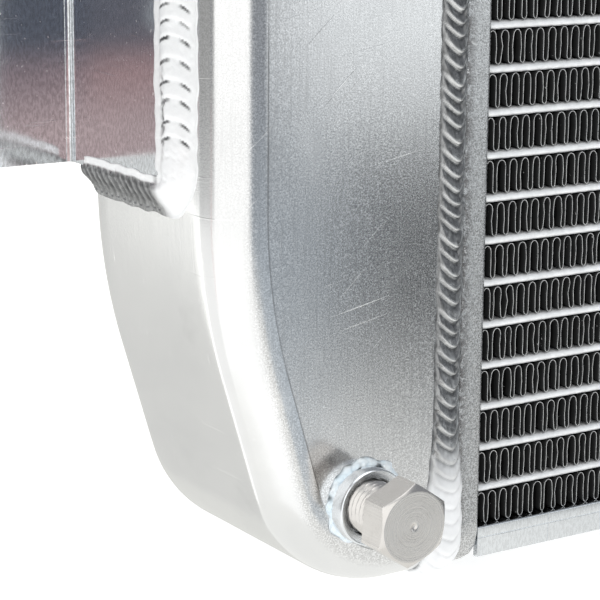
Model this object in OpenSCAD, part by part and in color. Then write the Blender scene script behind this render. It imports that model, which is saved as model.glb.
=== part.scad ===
// Welded aluminium crossflow car radiator with two end tanks, a tube and fin core,
// side mounting brackets, hose necks, a drain plug and a spring-loaded pressure cap.
// Units are millimetres. The origin is the centre of the four bracket bolt holes, on
// the brackets' rear faces. +X runs along the core, +Y to the rear and +Z up.

/* [Core] */
// Width of the core between the two header plates
core_w = 490; // [300:10:700]
// Number of flat tubes in each bank, from bottom to top
tube_rows = 43; // [39:2:61]
// Height from one tube to the next
tube_pitch = 10; // [8:0.5:12]
// Thickness of a flat tube
tube_t = 2; // [1.6:0.1:2.4]
// Depth of a flat tube, front to back
tube_d = 27; // [24:0.5:28]
// Wall of a flat tube
tube_wall = 0.35; // [0.3:0.05:0.5]
// Gap between the front and the rear bank of tubes
bank_gap = 4; // [2:0.5:6]
// Height of a side plate of the core
side_plate_h = 7.6; // [5:0.1:8]
// Sheet thickness of a side plate
side_plate_t = 1.5; // [1:0.1:2]

/* [Tanks and headers] */
// Depth of the tanks and headers, front to back
tank_depth = 63.5; // [62:0.5:70]
// Distance from the core to a tank's outer wall
tank_reach = 72; // [65:1:90]
// Sheet thickness of the tanks and headers
tank_wall = 2; // [1.5:0.1:2.5]
// Radius along the rounded edges of the tanks
edge_r = 9; // [8:0.5:12]
// Distance from the core to the seam between header and tank
header_reach = 11.25; // [9:0.25:14]
// Height of the tanks below the outermost side plate edge
tank_overhang = 1.9; // [1:0.1:4]
// Slope of a tank's lower outer wall away from vertical, degrees
slope_angle = 17; // [5:1:25]
// Radius of the bend where the slope starts
slope_bend_r = 137; // [60:1:150]
// Height of the start of the slope above the lowest tube
slope_start = 73; // [60:0.5:76]
// Radius of a tank's corner below the slope
corner_r = 35; // [20:1:42]
// Radius of the right tank's upper corner beside the filler neck
filler_corner_r = 10; // [9.5:0.5:12]

/* [Weld beads] */
// Width of the bead along a tank seam
seam_bead_w = 7.5; // [6:0.5:9]
// Height of a bead's crown above the sheet
bead_crown = 2; // [1.5:0.1:2.5]
// Width of the bead along a bracket
bracket_bead_w = 11; // [7:0.5:11]
// Width of the beads round the hose necks
neck_bead_w = 4; // [3:0.5:5]
// Width of the bead round the filler neck
filler_bead_w = 3.5; // [2.5:0.25:3.5]
// Width of the bead round the drain bung
bung_bead_w = 2; // [1.5:0.1:4]

/* [Brackets] */
// Sheet thickness of a bracket
bracket_t = 3; // [2:0.5:4]
// Height of a bracket
bracket_h = 267; // [240:1:280]
// Depth of the bracket leg that lies on the tank
bracket_leg = 45.5; // [30:0.5:46]
// Outside bend radius of a bracket
bracket_bend_r = 4.5; // [4:0.5:8]
// Distance from a tank's outer wall to the bracket's outer edge
bracket_reach = 43; // [40:1:60]
// Distance from a tank's outer wall to the bolt holes
bolt_reach = 28; // [22:1:34]
// Vertical distance between the two bolt holes of a bracket
bolt_spacing = 200; // [160:5:230]
// Radius of a bolt hole
bolt_hole_r = 4.5; // [3:0.25:5]

/* [Hose necks] */
// Outside radius of the inlet neck
inlet_r = 19; // [16:0.5:20]
// Outside radius of the outlet neck
outlet_r = 20; // [17:0.5:20.5]
// Distance from the core to the hose necks' axes
neck_reach = 40.3; // [40:0.1:42]
// Height of the inlet neck's axis
inlet_z = 175; // [150:1:185]
// Height of the outlet neck's axis
outlet_z = -120; // [-140:1:-100]
// Length of a hose neck in front of the tank
neck_len = 45; // [35:1:60]
// Wall of a hose neck
neck_wall = 2; // [1.5:0.1:2.5]
// Height of the hose-retaining bead on a neck
neck_lip = 1.3; // [0.8:0.1:1.5]

/* [Drain] */
// Height of the drain above the lowest tube
drain_up = 3.6; // [0:0.1:8]
// Distance from the core to the drain's axis
drain_reach = 34.6; // [30:0.1:40]
// Outside radius of the drain bung
bung_r = 9; // [8.5:0.1:12]
// How far the bung's face stands in front of the tank
bung_proud = 5; // [2:0.5:6]
// Radius of the drain plug's thread
drain_thread_r = 7; // [5:0.25:7.5]
// Distance across the flats of the drain plug
hex_flats = 17; // [14:0.5:19]
// Height of the drain plug's hex
hex_h = 8; // [6:0.5:10]
// Angle at which the drain plug's hex is left, degrees
hex_turn = 25; // [0:1:60]
// Distance from the bung's face to the hex as the plug is left
plug_gap = 7.5; // [0.5:0.5:9]

/* [Filler neck and cap] */
// Distance from the core to the filler neck's axis
filler_reach = 38.5; // [38.5:0.25:39.5]
// Outside radius of the filler neck's stem
stem_r = 19; // [18:0.5:20]
// Outside radius of the filler neck's cup
cup_r = 24; // [23.5:0.1:24.5]
// Wall of the filler neck
filler_wall = 2; // [1.5:0.1:2.5]
// Height of the pressure seat above the tank
seat_h = 12; // [12:0.5:16]
// Depth from the filler neck's rim to the pressure seat
throat = 19.5; // [19.5:0.5:22]
// Radius of the cap's round shell
cap_r = 29.5; // [29:0.1:31]
// Distance from the cap's axis to the end of an ear
ear_reach = 36; // [34:0.5:36.5]
// Outside radius of the overflow nipple
nipple_r = 4; // [3:0.25:4.5]
// Length of the overflow nipple in front of its collar
nipple_len = 21.5; // [16:0.5:26]
// How far the pressure valve can lift
valve_lift = 3; // [2:0.25:4]

/* [Hidden] */
$fn = 64;

bright = [0.86, 0.87, 0.88];
satin = [0.74, 0.76, 0.79];
frosted = [0.93, 0.94, 0.95];
fin_dark = [0.12, 0.12, 0.13];
nickel = [0.78, 0.75, 0.68];
steel = [0.62, 0.63, 0.65];
black_rubber = [0.06, 0.06, 0.06];
over = 40;

half_w = core_w / 2;
rear_y = -bracket_t;
front_y = rear_y - tank_depth;
mid_y = (front_y + rear_y) / 2;
top_tube_z = (tube_rows - 1) / 2 * tube_pitch;
fin_h = tube_pitch - tube_t;
core_d = 2 * tube_d + bank_gap;
plate_in_z = top_tube_z + tube_t / 2 + fin_h;
plate_out_z = plate_in_z + side_plate_h;
tank_half_h = plate_out_z + tank_overhang;
outer_x = half_w + tank_reach;
seam_x = half_w + header_reach;
tube_end_x = half_w + tank_wall + 1;
bracket_half_h = bracket_h / 2;
drain_z = -top_tube_z + drain_up;
drain_x = -half_w - drain_reach;
neck_x = half_w + neck_reach;
filler_x = half_w + filler_reach;
filler_z = tank_half_h;
rim_z = seat_h + throat;

// Mirrors a left-hand piece to the right end of the radiator
module right_hand() { mirror([1, 0, 0]) children(); }

// A ball whose equator and poles are true vertices, so that hulls of balls keep their size
module ball(r) {
    rotate_extrude($fn = 24)
        intersection() {
            circle(r, $fn = 24);
            translate([0, -r]) square([r, 2 * r]);
        }
}

// A rectangle with round corners, centred
module rounded_rect(w, h, r) {
    square([w - 2 * r, h], center = true);
    square([w, h - 2 * r], center = true);
    for (x = [-1, 1], y = [-1, 1])
        translate([x * (w / 2 - r), y * (h / 2 - r)]) circle(r);
}

// A tube end's outline: straight sides and round ends, w wide and t thick
module obround(w, t) {
    square([w - t, t], center = true);
    for (x = [-1, 1]) translate([x * (w - t) / 2, 0]) circle(t / 2, $fn = 24);
}

// Lays a profile drawn in Y and Z out along +X, starting at x
module along_x(x, length) {
    translate([x, 0, 0]) rotate([90, 0, 90]) linear_extrude(length) children();
}

// Turns a body of revolution drawn about Z so that its axis points to the front
module to_front() { rotate([90, 0, 0]) children(); }

// ---- Tanks ----

// Outward direction on the tank's outline, at an angle below the outward horizontal
function out_dir(a) = [-cos(a), -sin(a)];

// Centres of the balls along the sloping lower end of the left tank
function sloped_end() =
    let (bend = [-outer_x + slope_bend_r, -top_tube_z + slope_start])
    let (line = bend + (slope_bend_r - corner_r) * out_dir(slope_angle))
    let (run = (line[1] + tank_half_h - corner_r) / cos(slope_angle))
    let (corner = [line[0] + run * sin(slope_angle), corner_r - tank_half_h])
    concat(
        [for (k = [0 : 3]) bend + (slope_bend_r - edge_r) * out_dir(slope_angle * k / 3)],
        [for (k = [0 : 5]) corner
            + (corner_r - edge_r) * out_dir(slope_angle + (90 - slope_angle) * k / 5)]
    );

// The same for a square end, whose corner is one plain radius
function square_end() =
    let (corner = [-outer_x + filler_corner_r, filler_corner_r - tank_half_h])
    [for (k = [0 : 4]) corner + (filler_corner_r - edge_r) * out_dir(90 * k / 4)];

// A solid tank up to any distance past the seam, at full size or shrunk by its wall
module tank_form(shrink, square_top) {
    past_seam = [-seam_x + edge_r, edge_r - tank_half_h];
    hull()
        for (end = [-1, 1], y = [front_y + edge_r, rear_y - edge_r])
            for (p = concat(square_top && end == 1 ? square_end() : sloped_end(), [past_seam]))
                translate([p[0], y, -end * p[1]]) ball(edge_r - shrink);
}

// One welded tank, open towards the header
module tank(square_top) {
    difference() {
        tank_form(0, square_top);
        tank_form(tank_wall, square_top);
        translate([-seam_x, front_y - 1, -tank_half_h - 1])
            cube([over, tank_depth + 2, 2 * tank_half_h + 2]);
    }
}

module left_tank() {
    color(satin) difference() {
        tank(false);
        translate([drain_x, front_y + over / 2, drain_z])
            to_front() cylinder(r = bung_r, h = over);
        translate([-neck_x, front_y + over / 2, inlet_z])
            to_front() cylinder(r = inlet_r, h = over);
    }
}

module right_tank() {
    color(satin) difference() {
        right_hand() tank(true);
        translate([neck_x, front_y + over / 2, outlet_z])
            to_front() cylinder(r = outlet_r, h = over);
        translate([filler_x, mid_y, tank_half_h - over / 2])
            cylinder(r = stem_r, h = over);
    }
}

// ---- Headers ----

// A dished plate that the tube ends pass through, at the left end of the core
module header() {
    difference() {
        along_x(-seam_x, header_reach)
            translate([mid_y, 0]) rounded_rect(tank_depth, 2 * tank_half_h, edge_r);
        along_x(-seam_x - 1, header_reach - tank_wall + 1)
            translate([mid_y, 0])
                rounded_rect(tank_depth - 2 * tank_wall,
                             2 * (tank_half_h - tank_wall), edge_r - tank_wall);
        along_x(-half_w - tank_wall - 1, tank_wall + 2)
            for (row = [0 : tube_rows - 1], bank = [-1, 1])
                translate([mid_y + bank * (tube_d + bank_gap) / 2,
                           row * tube_pitch - top_tube_z])
                    obround(tube_d, tube_t);
    }
}

module left_header() { color(satin) header(); }
module right_header() { color(satin) right_hand() header(); }

// ---- Core ----

// One bank of flat tubes, bank -1 in front and 1 behind
module tubes(bank) {
    for (row = [0 : tube_rows - 1])
        translate([0, mid_y + bank * (tube_d + bank_gap) / 2, row * tube_pitch - top_tube_z])
            along_x(-tube_end_x, 2 * tube_end_x)
                difference() {
                    obround(tube_d, tube_t);
                    obround(tube_d - 2 * tube_wall, tube_t - 2 * tube_wall);
                }
}

module front_tubes() { color(bright) tubes(-1); }
module rear_tubes() { color(bright) tubes(1); }

// The space that each corrugated fin fills, as one plain strip per row
module fin_strips() {
    color(fin_dark)
        for (row = [0 : tube_rows])
            translate([-half_w, mid_y - core_d / 2, row * tube_pitch - plate_in_z])
                cube([core_w, core_d, fin_h]);
}

// A channel whose web lies on the outermost fin and whose flanges point away from the core
module side_plate() {
    along_x(-half_w, core_w)
        translate([mid_y, plate_in_z + side_plate_h / 2])
            difference() {
                square([core_d + 2 * side_plate_t, side_plate_h], center = true);
                translate([0, side_plate_t])
                    square([core_d, side_plate_h], center = true);
            }
}

module top_side_plate() { color(bright) side_plate(); }
module bottom_side_plate() { color(bright) mirror([0, 0, 1]) side_plate(); }

// ---- Seam welds ----

// A low band round the header and tank, stepped up to its crown in the middle
module seam_bead() {
    steps = [[seam_bead_w, bead_crown * 0.45], [seam_bead_w * 0.62, bead_crown]];
    difference() {
        for (s = steps)
            along_x(-seam_x - s[0] / 2, s[0])
                translate([mid_y, 0])
                    rounded_rect(tank_depth + 2 * s[1], 2 * (tank_half_h + s[1]), edge_r + s[1]);
        along_x(-seam_x - seam_bead_w, 2 * seam_bead_w)
            translate([mid_y, 0]) rounded_rect(tank_depth, 2 * tank_half_h, edge_r);
    }
}

module left_tank_weld() { color(frosted) seam_bead(); }
module right_tank_weld() { color(frosted) right_hand() seam_bead(); }

// ---- Brackets ----

// An angle bent from sheet: one leg on the tank's outer wall, one flange to bolt up
module bracket() {
    leg_x = -outer_x - bracket_t;
    bend_x = -outer_x - bracket_bend_r;
    difference() {
        translate([0, 0, -bracket_half_h]) linear_extrude(bracket_h) {
            translate([leg_x, -bracket_leg])
                square([bracket_t, bracket_leg - bracket_bend_r]);
            translate([bend_x, -bracket_bend_r])
                intersection() {
                    difference() {
                        circle(bracket_bend_r);
                        circle(bracket_bend_r - bracket_t);
                    }
                    square(bracket_bend_r);
                }
            translate([-outer_x - bracket_reach, -bracket_t])
                square([bracket_reach - bracket_bend_r, bracket_t]);
        }
        for (z = [-1, 1])
            translate([-outer_x - bolt_reach, over / 2, z * bolt_spacing / 2])
                to_front() cylinder(r = bolt_hole_r, h = over);
    }
}

module left_bracket() { color(bright) bracket(); }
module right_bracket() { color(bright) right_hand() bracket(); }

// Beads along the front edge, the top and the bottom of a bracket's leg
module bracket_bead() {
    leg_front_y = -bracket_leg;
    flat_back_y = rear_y - edge_r;
    height = bracket_t + bead_crown / 2;
    end_h = 6.5;
    translate([-outer_x - height, leg_front_y - bracket_bead_w, -bracket_half_h - end_h])
        cube([height, bracket_bead_w, bracket_h + 2 * end_h]);
    for (z = [-bracket_half_h - end_h, bracket_half_h])
        translate([-outer_x - height, leg_front_y, z])
            cube([height, flat_back_y - leg_front_y, end_h]);
}

module left_bracket_weld() { color(frosted) bracket_bead(); }
module right_bracket_weld() { color(frosted) right_hand() bracket_bead(); }

// ---- Hose necks ----

// A straight tube through the tank's front wall, with a rolled lip that holds the hose
module hose_neck(r) {
    inside = 4;
    lip_w = 4;
    lip_back = 7;
    rotate_extrude() {
        translate([r - neck_wall, -inside]) square([neck_wall, inside + neck_len]);
        translate([r - neck_wall / 2, neck_len - lip_back])
            square([neck_wall / 2 + neck_lip, lip_w]);
    }
}

// A ring of weld round a tube of radius r that stands on a flat wall
module ring_bead(r, w, crown) {
    rotate_extrude() {
        translate([r, 0]) square([w, crown * 0.5]);
        translate([r, 0]) square([w * 0.6, crown]);
    }
}

module inlet_neck() {
    color(satin) translate([-neck_x, front_y, inlet_z]) to_front() hose_neck(inlet_r);
}
module outlet_neck() {
    color(satin) translate([neck_x, front_y, outlet_z]) to_front() hose_neck(outlet_r);
}
module inlet_neck_weld() {
    color(frosted) translate([-neck_x, front_y, inlet_z])
        to_front() ring_bead(inlet_r, neck_bead_w, bead_crown);
}
module outlet_neck_weld() {
    color(frosted) translate([neck_x, front_y, outlet_z])
        to_front() ring_bead(outlet_r, neck_bead_w, bead_crown);
}

// ---- Drain ----

bung_in = 8;
shank_gap = 0.05;

module drain_bung() {
    color(bright) translate([drain_x, front_y, drain_z]) to_front()
        rotate_extrude() {
            translate([drain_thread_r, -bung_in])
                square([bung_r - drain_thread_r, bung_in + bung_proud]);
        }
}

module drain_bung_weld() {
    color(frosted) translate([drain_x, front_y, drain_z])
        to_front() ring_bead(bung_r, bung_bead_w, bead_crown * 0.9);
}

// A hex-headed plug with a chamfered face, left partly unscrewed
module drain_plug() {
    tip_back = 4;
    relief = 2;
    chamfer = 1;
    face_r = hex_flats / 2 - 0.4;
    shank_len = bung_in + bung_proud + plug_gap - tip_back;
    hex_r = hex_flats / 2 / cos(30);
    color(nickel) translate([drain_x, front_y - bung_proud - plug_gap, drain_z]) to_front() {
        translate([0, 0, -shank_len])
            cylinder(r = drain_thread_r - shank_gap, h = shank_len - relief);
        translate([0, 0, -relief]) cylinder(r = drain_thread_r - 1, h = relief);
        intersection() {
            rotate([0, 0, hex_turn]) cylinder(r = hex_r, h = hex_h, $fn = 6);
            union() {
                cylinder(r = hex_r + 1, h = hex_h - chamfer);
                translate([0, 0, hex_h - chamfer])
                    rotate_extrude()
                        polygon([[0, 0], [hex_r + 1, 0], [face_r, chamfer], [0, chamfer]]);
            }
        }
    }
}

// ---- Filler neck ----

cup_in_r = cup_r - filler_wall;
stem_in_r = stem_r - filler_wall - 0.5;
rim_r = 27;
skirt_h = 5.5;
rim_t = 1.5;
notch_angle = 20;
tab_angle = 14;
nipple_bore_r = nipple_r - 1.2;
spigot_r = nipple_r - 0.5;
collar_r = nipple_r + 1.5;
collar_t = 2.5;
nipple_z = seat_h + collar_r - 1;

// A wedge of height h, wide enough to cut a sector of 2 * half_angle about +X
module sector(half_angle, r, h) {
    linear_extrude(h)
        polygon([[0, 0], [r, -r * tan(half_angle)], [r, r * tan(half_angle)]]);
}

module at_filler() { translate([filler_x, mid_y, filler_z]) children(); }

module filler_neck() {
    color(bright) at_filler() difference() {
        rotate_extrude()
            polygon([
                [stem_in_r, -4], [stem_r, -4], [stem_r, seat_h - filler_wall],
                [cup_r, seat_h - filler_wall], [cup_r, rim_z - filler_wall],
                [rim_r - rim_t, rim_z - filler_wall], [rim_r - rim_t, rim_z - skirt_h],
                [rim_r, rim_z - skirt_h], [rim_r, rim_z], [cup_in_r, rim_z],
                [cup_in_r, seat_h], [stem_in_r, seat_h]
            ]);
        for (a = [90, 270])
            rotate([0, 0, a]) translate([0, 0, rim_z - skirt_h - 1])
                difference() {
                    sector(notch_angle, rim_r + 4, skirt_h + 2);
                    cylinder(r = cup_r + 0.3, h = skirt_h + 2);
                }
        translate([0, 0, nipple_z]) to_front() cylinder(r = spigot_r, h = over);
    }
}

module filler_neck_weld() {
    color(frosted) at_filler() ring_bead(stem_r, filler_bead_w, bead_crown);
}

// A nipple whose spigot passes through the cup's wall and whose collar seats on the cup
module overflow_nipple() {
    inner_end = sqrt(cup_in_r * cup_in_r - spigot_r * spigot_r);
    collar_end = cup_r + collar_t;
    color(bright) at_filler() difference() {
        translate([0, 0, nipple_z]) to_front() {
            translate([0, 0, inner_end]) cylinder(r = spigot_r, h = collar_end - inner_end);
            translate([0, 0, collar_end - 1]) cylinder(r = nipple_r, h = nipple_len + 1);
            difference() {
                translate([0, 0, inner_end]) cylinder(r = collar_r, h = collar_end - inner_end);
                translate([0, -nipple_z, 0]) rotate([-90, 0, 0]) cylinder(r = cup_r, h = over);
            }
        }
        translate([0, 0, nipple_z]) to_front()
            cylinder(r = nipple_bore_r, h = collar_end + nipple_len + 1);
    }
}

// ---- Pressure cap ----

skin = 1.5;
seat_gap = 0.2;
rivet_r = 3;
gasket_t = 0.8;
gasket_in_r = 21;
gasket_out_r = 26;
disc_t = 0.5;
disc_r = 26.5;
cap_under_z = rim_z + seat_gap + gasket_t + disc_t;
cap_top_z = cap_under_z + skin;
skirt_in_r = cap_r - skin;
tab_top_z = rim_z - skirt_h - 0.4;
tab_t = 1.3;
guide_r = 9.5;
guide_flange_r = 17;
guide_flange_t = 1.2;
guide_top_z = cap_under_z - disc_t;
valve_gasket_in_r = 12;
valve_gasket_out_r = 20.5;
plate_z = seat_h + 2.3;
plate_t = 1;
guide_bottom_z = plate_z + plate_t + valve_lift + 0.3;
spring_wire = 2;
spring_r = 14.5;
spring_turns = 3.5;

module cap_shell() {
    color(steel) at_filler() {
        difference() {
            union() {
                translate([0, 0, tab_top_z]) cylinder(r = cap_r, h = cap_top_z - tab_top_z);
                for (a = [0, 180])
                    rotate([0, 0, a]) translate([0, 0, tab_top_z - tab_t])
                        intersection() {
                            sector(notch_angle, ear_reach + 4, cap_top_z - tab_top_z + tab_t);
                            cylinder(r = ear_reach, h = cap_top_z - tab_top_z + tab_t);
                        }
            }
            translate([0, 0, tab_top_z - tab_t - 1])
                cylinder(r = skirt_in_r, h = cap_under_z - tab_top_z + tab_t + 1);
            for (a = [0, 180])
                rotate([0, 0, a]) translate([0, 0, tab_top_z - tab_t - 1])
                    difference() {
                        intersection() {
                            sector(notch_angle - 3, ear_reach, cap_under_z - tab_top_z + tab_t + 1);
                            cylinder(r = ear_reach - skin, h = cap_under_z - tab_top_z + tab_t + 1);
                        }
                        cylinder(r = cap_r, h = cap_top_z);
                    }
            translate([0, 0, cap_under_z - 1]) cylinder(r = rivet_r, h = skin + 2);
        }
        for (a = [0, 180])
            rotate([0, 0, a]) translate([0, 0, tab_top_z - tab_t])
                difference() {
                    intersection() {
                        sector(tab_angle, cap_r + 2, tab_t);
                        cylinder(r = skirt_in_r + skin / 2, h = tab_t);
                    }
                    translate([0, 0, -1]) cylinder(r = rim_r - 1.4, h = tab_t + 2);
                }
    }
}

// A flat ring about the filler's axis
module washer(inner_r, outer_r, z, t) {
    at_filler() translate([0, 0, z]) difference() {
        cylinder(r = outer_r, h = t);
        if (inner_r > 0) translate([0, 0, -1]) cylinder(r = inner_r, h = t + 2);
    }
}

module cap_gasket() {
    color(black_rubber) washer(gasket_in_r, gasket_out_r, rim_z + seat_gap, gasket_t);
}

module cap_spring_disc() {
    color(steel) washer(rivet_r, disc_r, guide_top_z, disc_t);
}

// Rivet through the shell, the spring disc and the spring guide
module cap_rivet() {
    head_r = 5.5;
    head_t = 1;
    color(nickel) at_filler() {
        translate([0, 0, guide_top_z - guide_flange_t])
            cylinder(r = rivet_r, h = cap_top_z - guide_top_z + guide_flange_t);
        translate([0, 0, cap_top_z]) cylinder(r = head_r, h = head_t);
        translate([0, 0, guide_top_z - guide_flange_t - head_t]) cylinder(r = head_r, h = head_t);
    }
}

// A flanged tube that holds the spring on centre and keeps the valve plate from falling off
module cap_spring_guide() {
    color(steel) at_filler() rotate_extrude()
        polygon([
            [rivet_r, guide_top_z - guide_flange_t], [guide_r - 1, guide_top_z - guide_flange_t],
            [guide_r - 1, guide_bottom_z], [guide_r + 1, guide_bottom_z],
            [guide_r + 1, guide_bottom_z + 1], [guide_r, guide_bottom_z + 1],
            [guide_r, guide_top_z - guide_flange_t],
            [guide_flange_r, guide_top_z - guide_flange_t],
            [guide_flange_r, guide_top_z], [rivet_r, guide_top_z]
        ]);
}

// Points of a ring of the coil, and the coil as one swept solid
function coil_ring(i, per_turn, coil_r, wire_r, low, rise, sides) =
    let (a = 360 * i / per_turn)
    [for (k = [0 : sides - 1])
        let (b = 360 * k / sides)
        [(coil_r + wire_r * cos(b)) * cos(a),
         (coil_r + wire_r * cos(b)) * sin(a),
         low + rise * i + wire_r * sin(b)]];

module coil(coil_r, wire_r, low, high, turns, per_turn, sides) {
    rings = round(turns * per_turn);
    rise = (high - low - 2 * wire_r) / rings;
    points = [for (i = [0 : rings])
        each coil_ring(i, per_turn, coil_r, wire_r, low + wire_r, rise, sides)];
    walls = [for (i = [0 : rings - 1], k = [0 : sides - 1])
        let (n = (k + 1) % sides)
        [i * sides + k, (i + 1) * sides + k, (i + 1) * sides + n, i * sides + n]];
    first_end = [[for (k = [0 : sides - 1]) k]];
    last_end = [[for (k = [sides - 1 : -1 : 0]) rings * sides + k]];
    polyhedron(points, concat(walls, first_end, last_end), convexity = 8);
}

module cap_spring() {
    color(steel) at_filler()
        coil(spring_r, spring_wire / 2, plate_z + plate_t,
             guide_top_z - guide_flange_t, spring_turns, 16, 8);
}

// The valve plate: a disc on the seat gasket, with a sleeve that slides on the guide
module pressure_valve_plate() {
    plate_r = 20;
    lip_t = 1;
    lip_in_r = guide_r + 0.3;
    sleeve_in_r = lip_in_r + lip_t;
    sleeve_out_r = sleeve_in_r + 1;
    sleeve_top_z = guide_bottom_z + valve_lift + 3;
    color(nickel) at_filler() rotate_extrude()
        polygon([
            [vent_r, plate_z], [plate_r, plate_z], [plate_r, plate_z + plate_t],
            [sleeve_out_r, plate_z + plate_t], [sleeve_out_r, sleeve_top_z],
            [lip_in_r, sleeve_top_z], [lip_in_r, sleeve_top_z - lip_t],
            [sleeve_in_r, sleeve_top_z - lip_t], [sleeve_in_r, plate_z + plate_t],
            [vent_r, plate_z + plate_t]
        ]);
}

module pressure_valve_gasket() {
    color(black_rubber)
        washer(valve_gasket_in_r, valve_gasket_out_r, seat_h + seat_gap,
               plate_z - seat_h - seat_gap);
}

vent_r = 2.5;
stem_pin_r = 1.5;
vacuum_disc_r = 7;
vacuum_clip_r = 3.6;
vacuum_clip_t = 0.8;
vacuum_clip_z = plate_z + plate_t + 4.5;

// A small disc under the valve plate, hung by its stem from a clip
module vacuum_valve() {
    color(nickel) at_filler() rotate_extrude()
        polygon([
            [0, plate_z - 1.5], [vacuum_disc_r, plate_z - 1.5],
            [vacuum_disc_r, plate_z - seat_gap], [stem_pin_r, plate_z - seat_gap],
            [stem_pin_r, vacuum_clip_z], [vacuum_clip_r, vacuum_clip_z],
            [vacuum_clip_r, vacuum_clip_z + vacuum_clip_t], [0, vacuum_clip_z + vacuum_clip_t]
        ]);
}

module vacuum_spring() {
    color(steel) at_filler()
        coil(2.9, 0.3, plate_z + plate_t, vacuum_clip_z, 3, 12, 6);
}

left_tank();
right_tank();
left_header();
right_header();
front_tubes();
rear_tubes();
fin_strips();
top_side_plate();
bottom_side_plate();
left_tank_weld();
right_tank_weld();
left_bracket();
right_bracket();
left_bracket_weld();
right_bracket_weld();
inlet_neck();
outlet_neck();
inlet_neck_weld();
outlet_neck_weld();
drain_bung();
drain_bung_weld();
drain_plug();
filler_neck();
filler_neck_weld();
overflow_nipple();
cap_shell();
cap_gasket();
cap_spring_disc();
cap_rivet();
cap_spring_guide();
cap_spring();
pressure_valve_plate();
pressure_valve_gasket();
vacuum_valve();
vacuum_spring();
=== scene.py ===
"""Looks of a welded aluminium car radiator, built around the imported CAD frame.

Shapes are worked out in millimetres in the frame's own axes (+X along the core, +Y to
the rear, +Z up) and written in metres. Each visible piece is made here in mesh code and
stands for the CAD node of the same name.
"""
import math

import bmesh
import bpy
import numpy as np
from mathutils import Matrix, Vector


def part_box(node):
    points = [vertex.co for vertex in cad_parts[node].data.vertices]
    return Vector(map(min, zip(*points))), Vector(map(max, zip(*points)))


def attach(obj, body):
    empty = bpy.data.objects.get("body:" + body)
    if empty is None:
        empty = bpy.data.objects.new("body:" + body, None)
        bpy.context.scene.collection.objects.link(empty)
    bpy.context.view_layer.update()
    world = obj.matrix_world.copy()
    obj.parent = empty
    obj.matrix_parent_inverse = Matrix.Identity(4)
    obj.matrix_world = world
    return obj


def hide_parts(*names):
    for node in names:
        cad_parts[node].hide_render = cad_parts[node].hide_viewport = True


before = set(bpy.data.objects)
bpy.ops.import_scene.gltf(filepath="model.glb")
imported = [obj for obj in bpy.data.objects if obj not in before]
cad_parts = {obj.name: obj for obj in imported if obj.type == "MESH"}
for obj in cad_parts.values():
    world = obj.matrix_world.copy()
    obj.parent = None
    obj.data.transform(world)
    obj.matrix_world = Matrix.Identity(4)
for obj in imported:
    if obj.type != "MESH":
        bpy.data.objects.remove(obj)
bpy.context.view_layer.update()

MM = 0.001


def node_box(name):
    """Lowest and highest corner of a CAD node, in millimetres."""
    low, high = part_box(name)
    return np.array(low) / MM, np.array(high) / MM


# ---------------------------------------------------------------- sizes from the frame

tank_low, tank_high = node_box("left_tank")
OUTER_X = -tank_low[0]
SEAM_X = -tank_high[0]
FRONT_Y = tank_low[1]
REAR_Y = tank_high[1]
MID_Y = (FRONT_Y + REAR_Y) / 2
HALF_H = tank_high[2]
CORE_X = -node_box("left_header")[1][0]
HALF_D = (REAR_Y - FRONT_Y) / 2

TUBE_T = 2.0
TUBE_ROWS = 43
TUBE_TOP_Z = node_box("front_tubes")[1][2] - TUBE_T / 2
TUBE_PITCH = 2 * TUBE_TOP_Z / (TUBE_ROWS - 1)

EDGE_R = 9.0
EDGE_EXTRA = 2.8          # the left tank's edges are this much wider on the outer wall
FOLD_DEG = 1.6            # the flat faces end in a faint fold
WALL_BULGE = 0.45
FACE_BULGE = 0.25
SLOPE = math.radians(17)  # the lower end of a tank: a long bend, a slope, and a corner
SLOPE_BEND_R = 137.0
SLOPE_START_Z = -TUBE_TOP_Z + 73.0
CORNER_R = 35.0
TOP_CORNER_R = 10.0       # the right tank's upper corner is plain

SEAM_BEAD_HALF_W = 3.75
BEAD_CROWN = 1.95

# ---------------------------------------------------------------- mesh helpers


def grid_faces(rows, cols, close_rows=False, close_cols=False, start=0):
    """Quads of a grid of points stored row by row."""
    r = np.arange(rows if close_rows else rows - 1)
    c = np.arange(cols if close_cols else cols - 1)
    a, b = (v.ravel() for v in np.meshgrid(r, c, indexing="ij"))
    a2, b2 = (a + 1) % rows, (b + 1) % cols
    return start + np.stack([a * cols + b, a * cols + b2, a2 * cols + b2, a2 * cols + b], 1)


def xyz(x, y, z):
    """A list of points from their coordinates, each a number or an array."""
    return np.stack(np.broadcast_arrays(x, y, z), -1).reshape(-1, 3)


def tube_faces(rows, count, ring=False):
    """Faces over rows of closed outlines of count points, capped unless they form a ring."""
    first = np.arange(count)[None, :]
    ends = [] if ring else [first, first + count * (rows - 1)]
    return [grid_faces(rows, count, ring, True), *ends]


def mesh_from(name, verts, faces):
    """A mesh from points in millimetres and a list of face arrays, each (count, sides)."""
    mesh = bpy.data.meshes.new(name)
    verts = np.asarray(verts, np.float64) * MM
    corners = np.concatenate([np.asarray(f).ravel() for f in faces]).astype(np.int32)
    sides = np.concatenate([np.full(len(f), np.asarray(f).shape[1]) for f in faces])
    starts = np.concatenate([[0], np.cumsum(sides)[:-1]]).astype(np.int32)
    mesh.vertices.add(len(verts))
    mesh.vertices.foreach_set("co", verts.astype(np.float32).ravel())
    mesh.loops.add(len(corners))
    mesh.loops.foreach_set("vertex_index", corners)
    mesh.polygons.add(len(sides))
    mesh.polygons.foreach_set("loop_start", starts)
    mesh.update(calc_edges=True)
    mesh.validate()
    return mesh


def paint(mesh, label, values):
    """Stores a number for each vertex, which a material reads by its label."""
    stored = mesh.attributes.new(label, "FLOAT", "POINT")
    stored.data.foreach_set("value", values.astype(np.float32).ravel())


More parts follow.
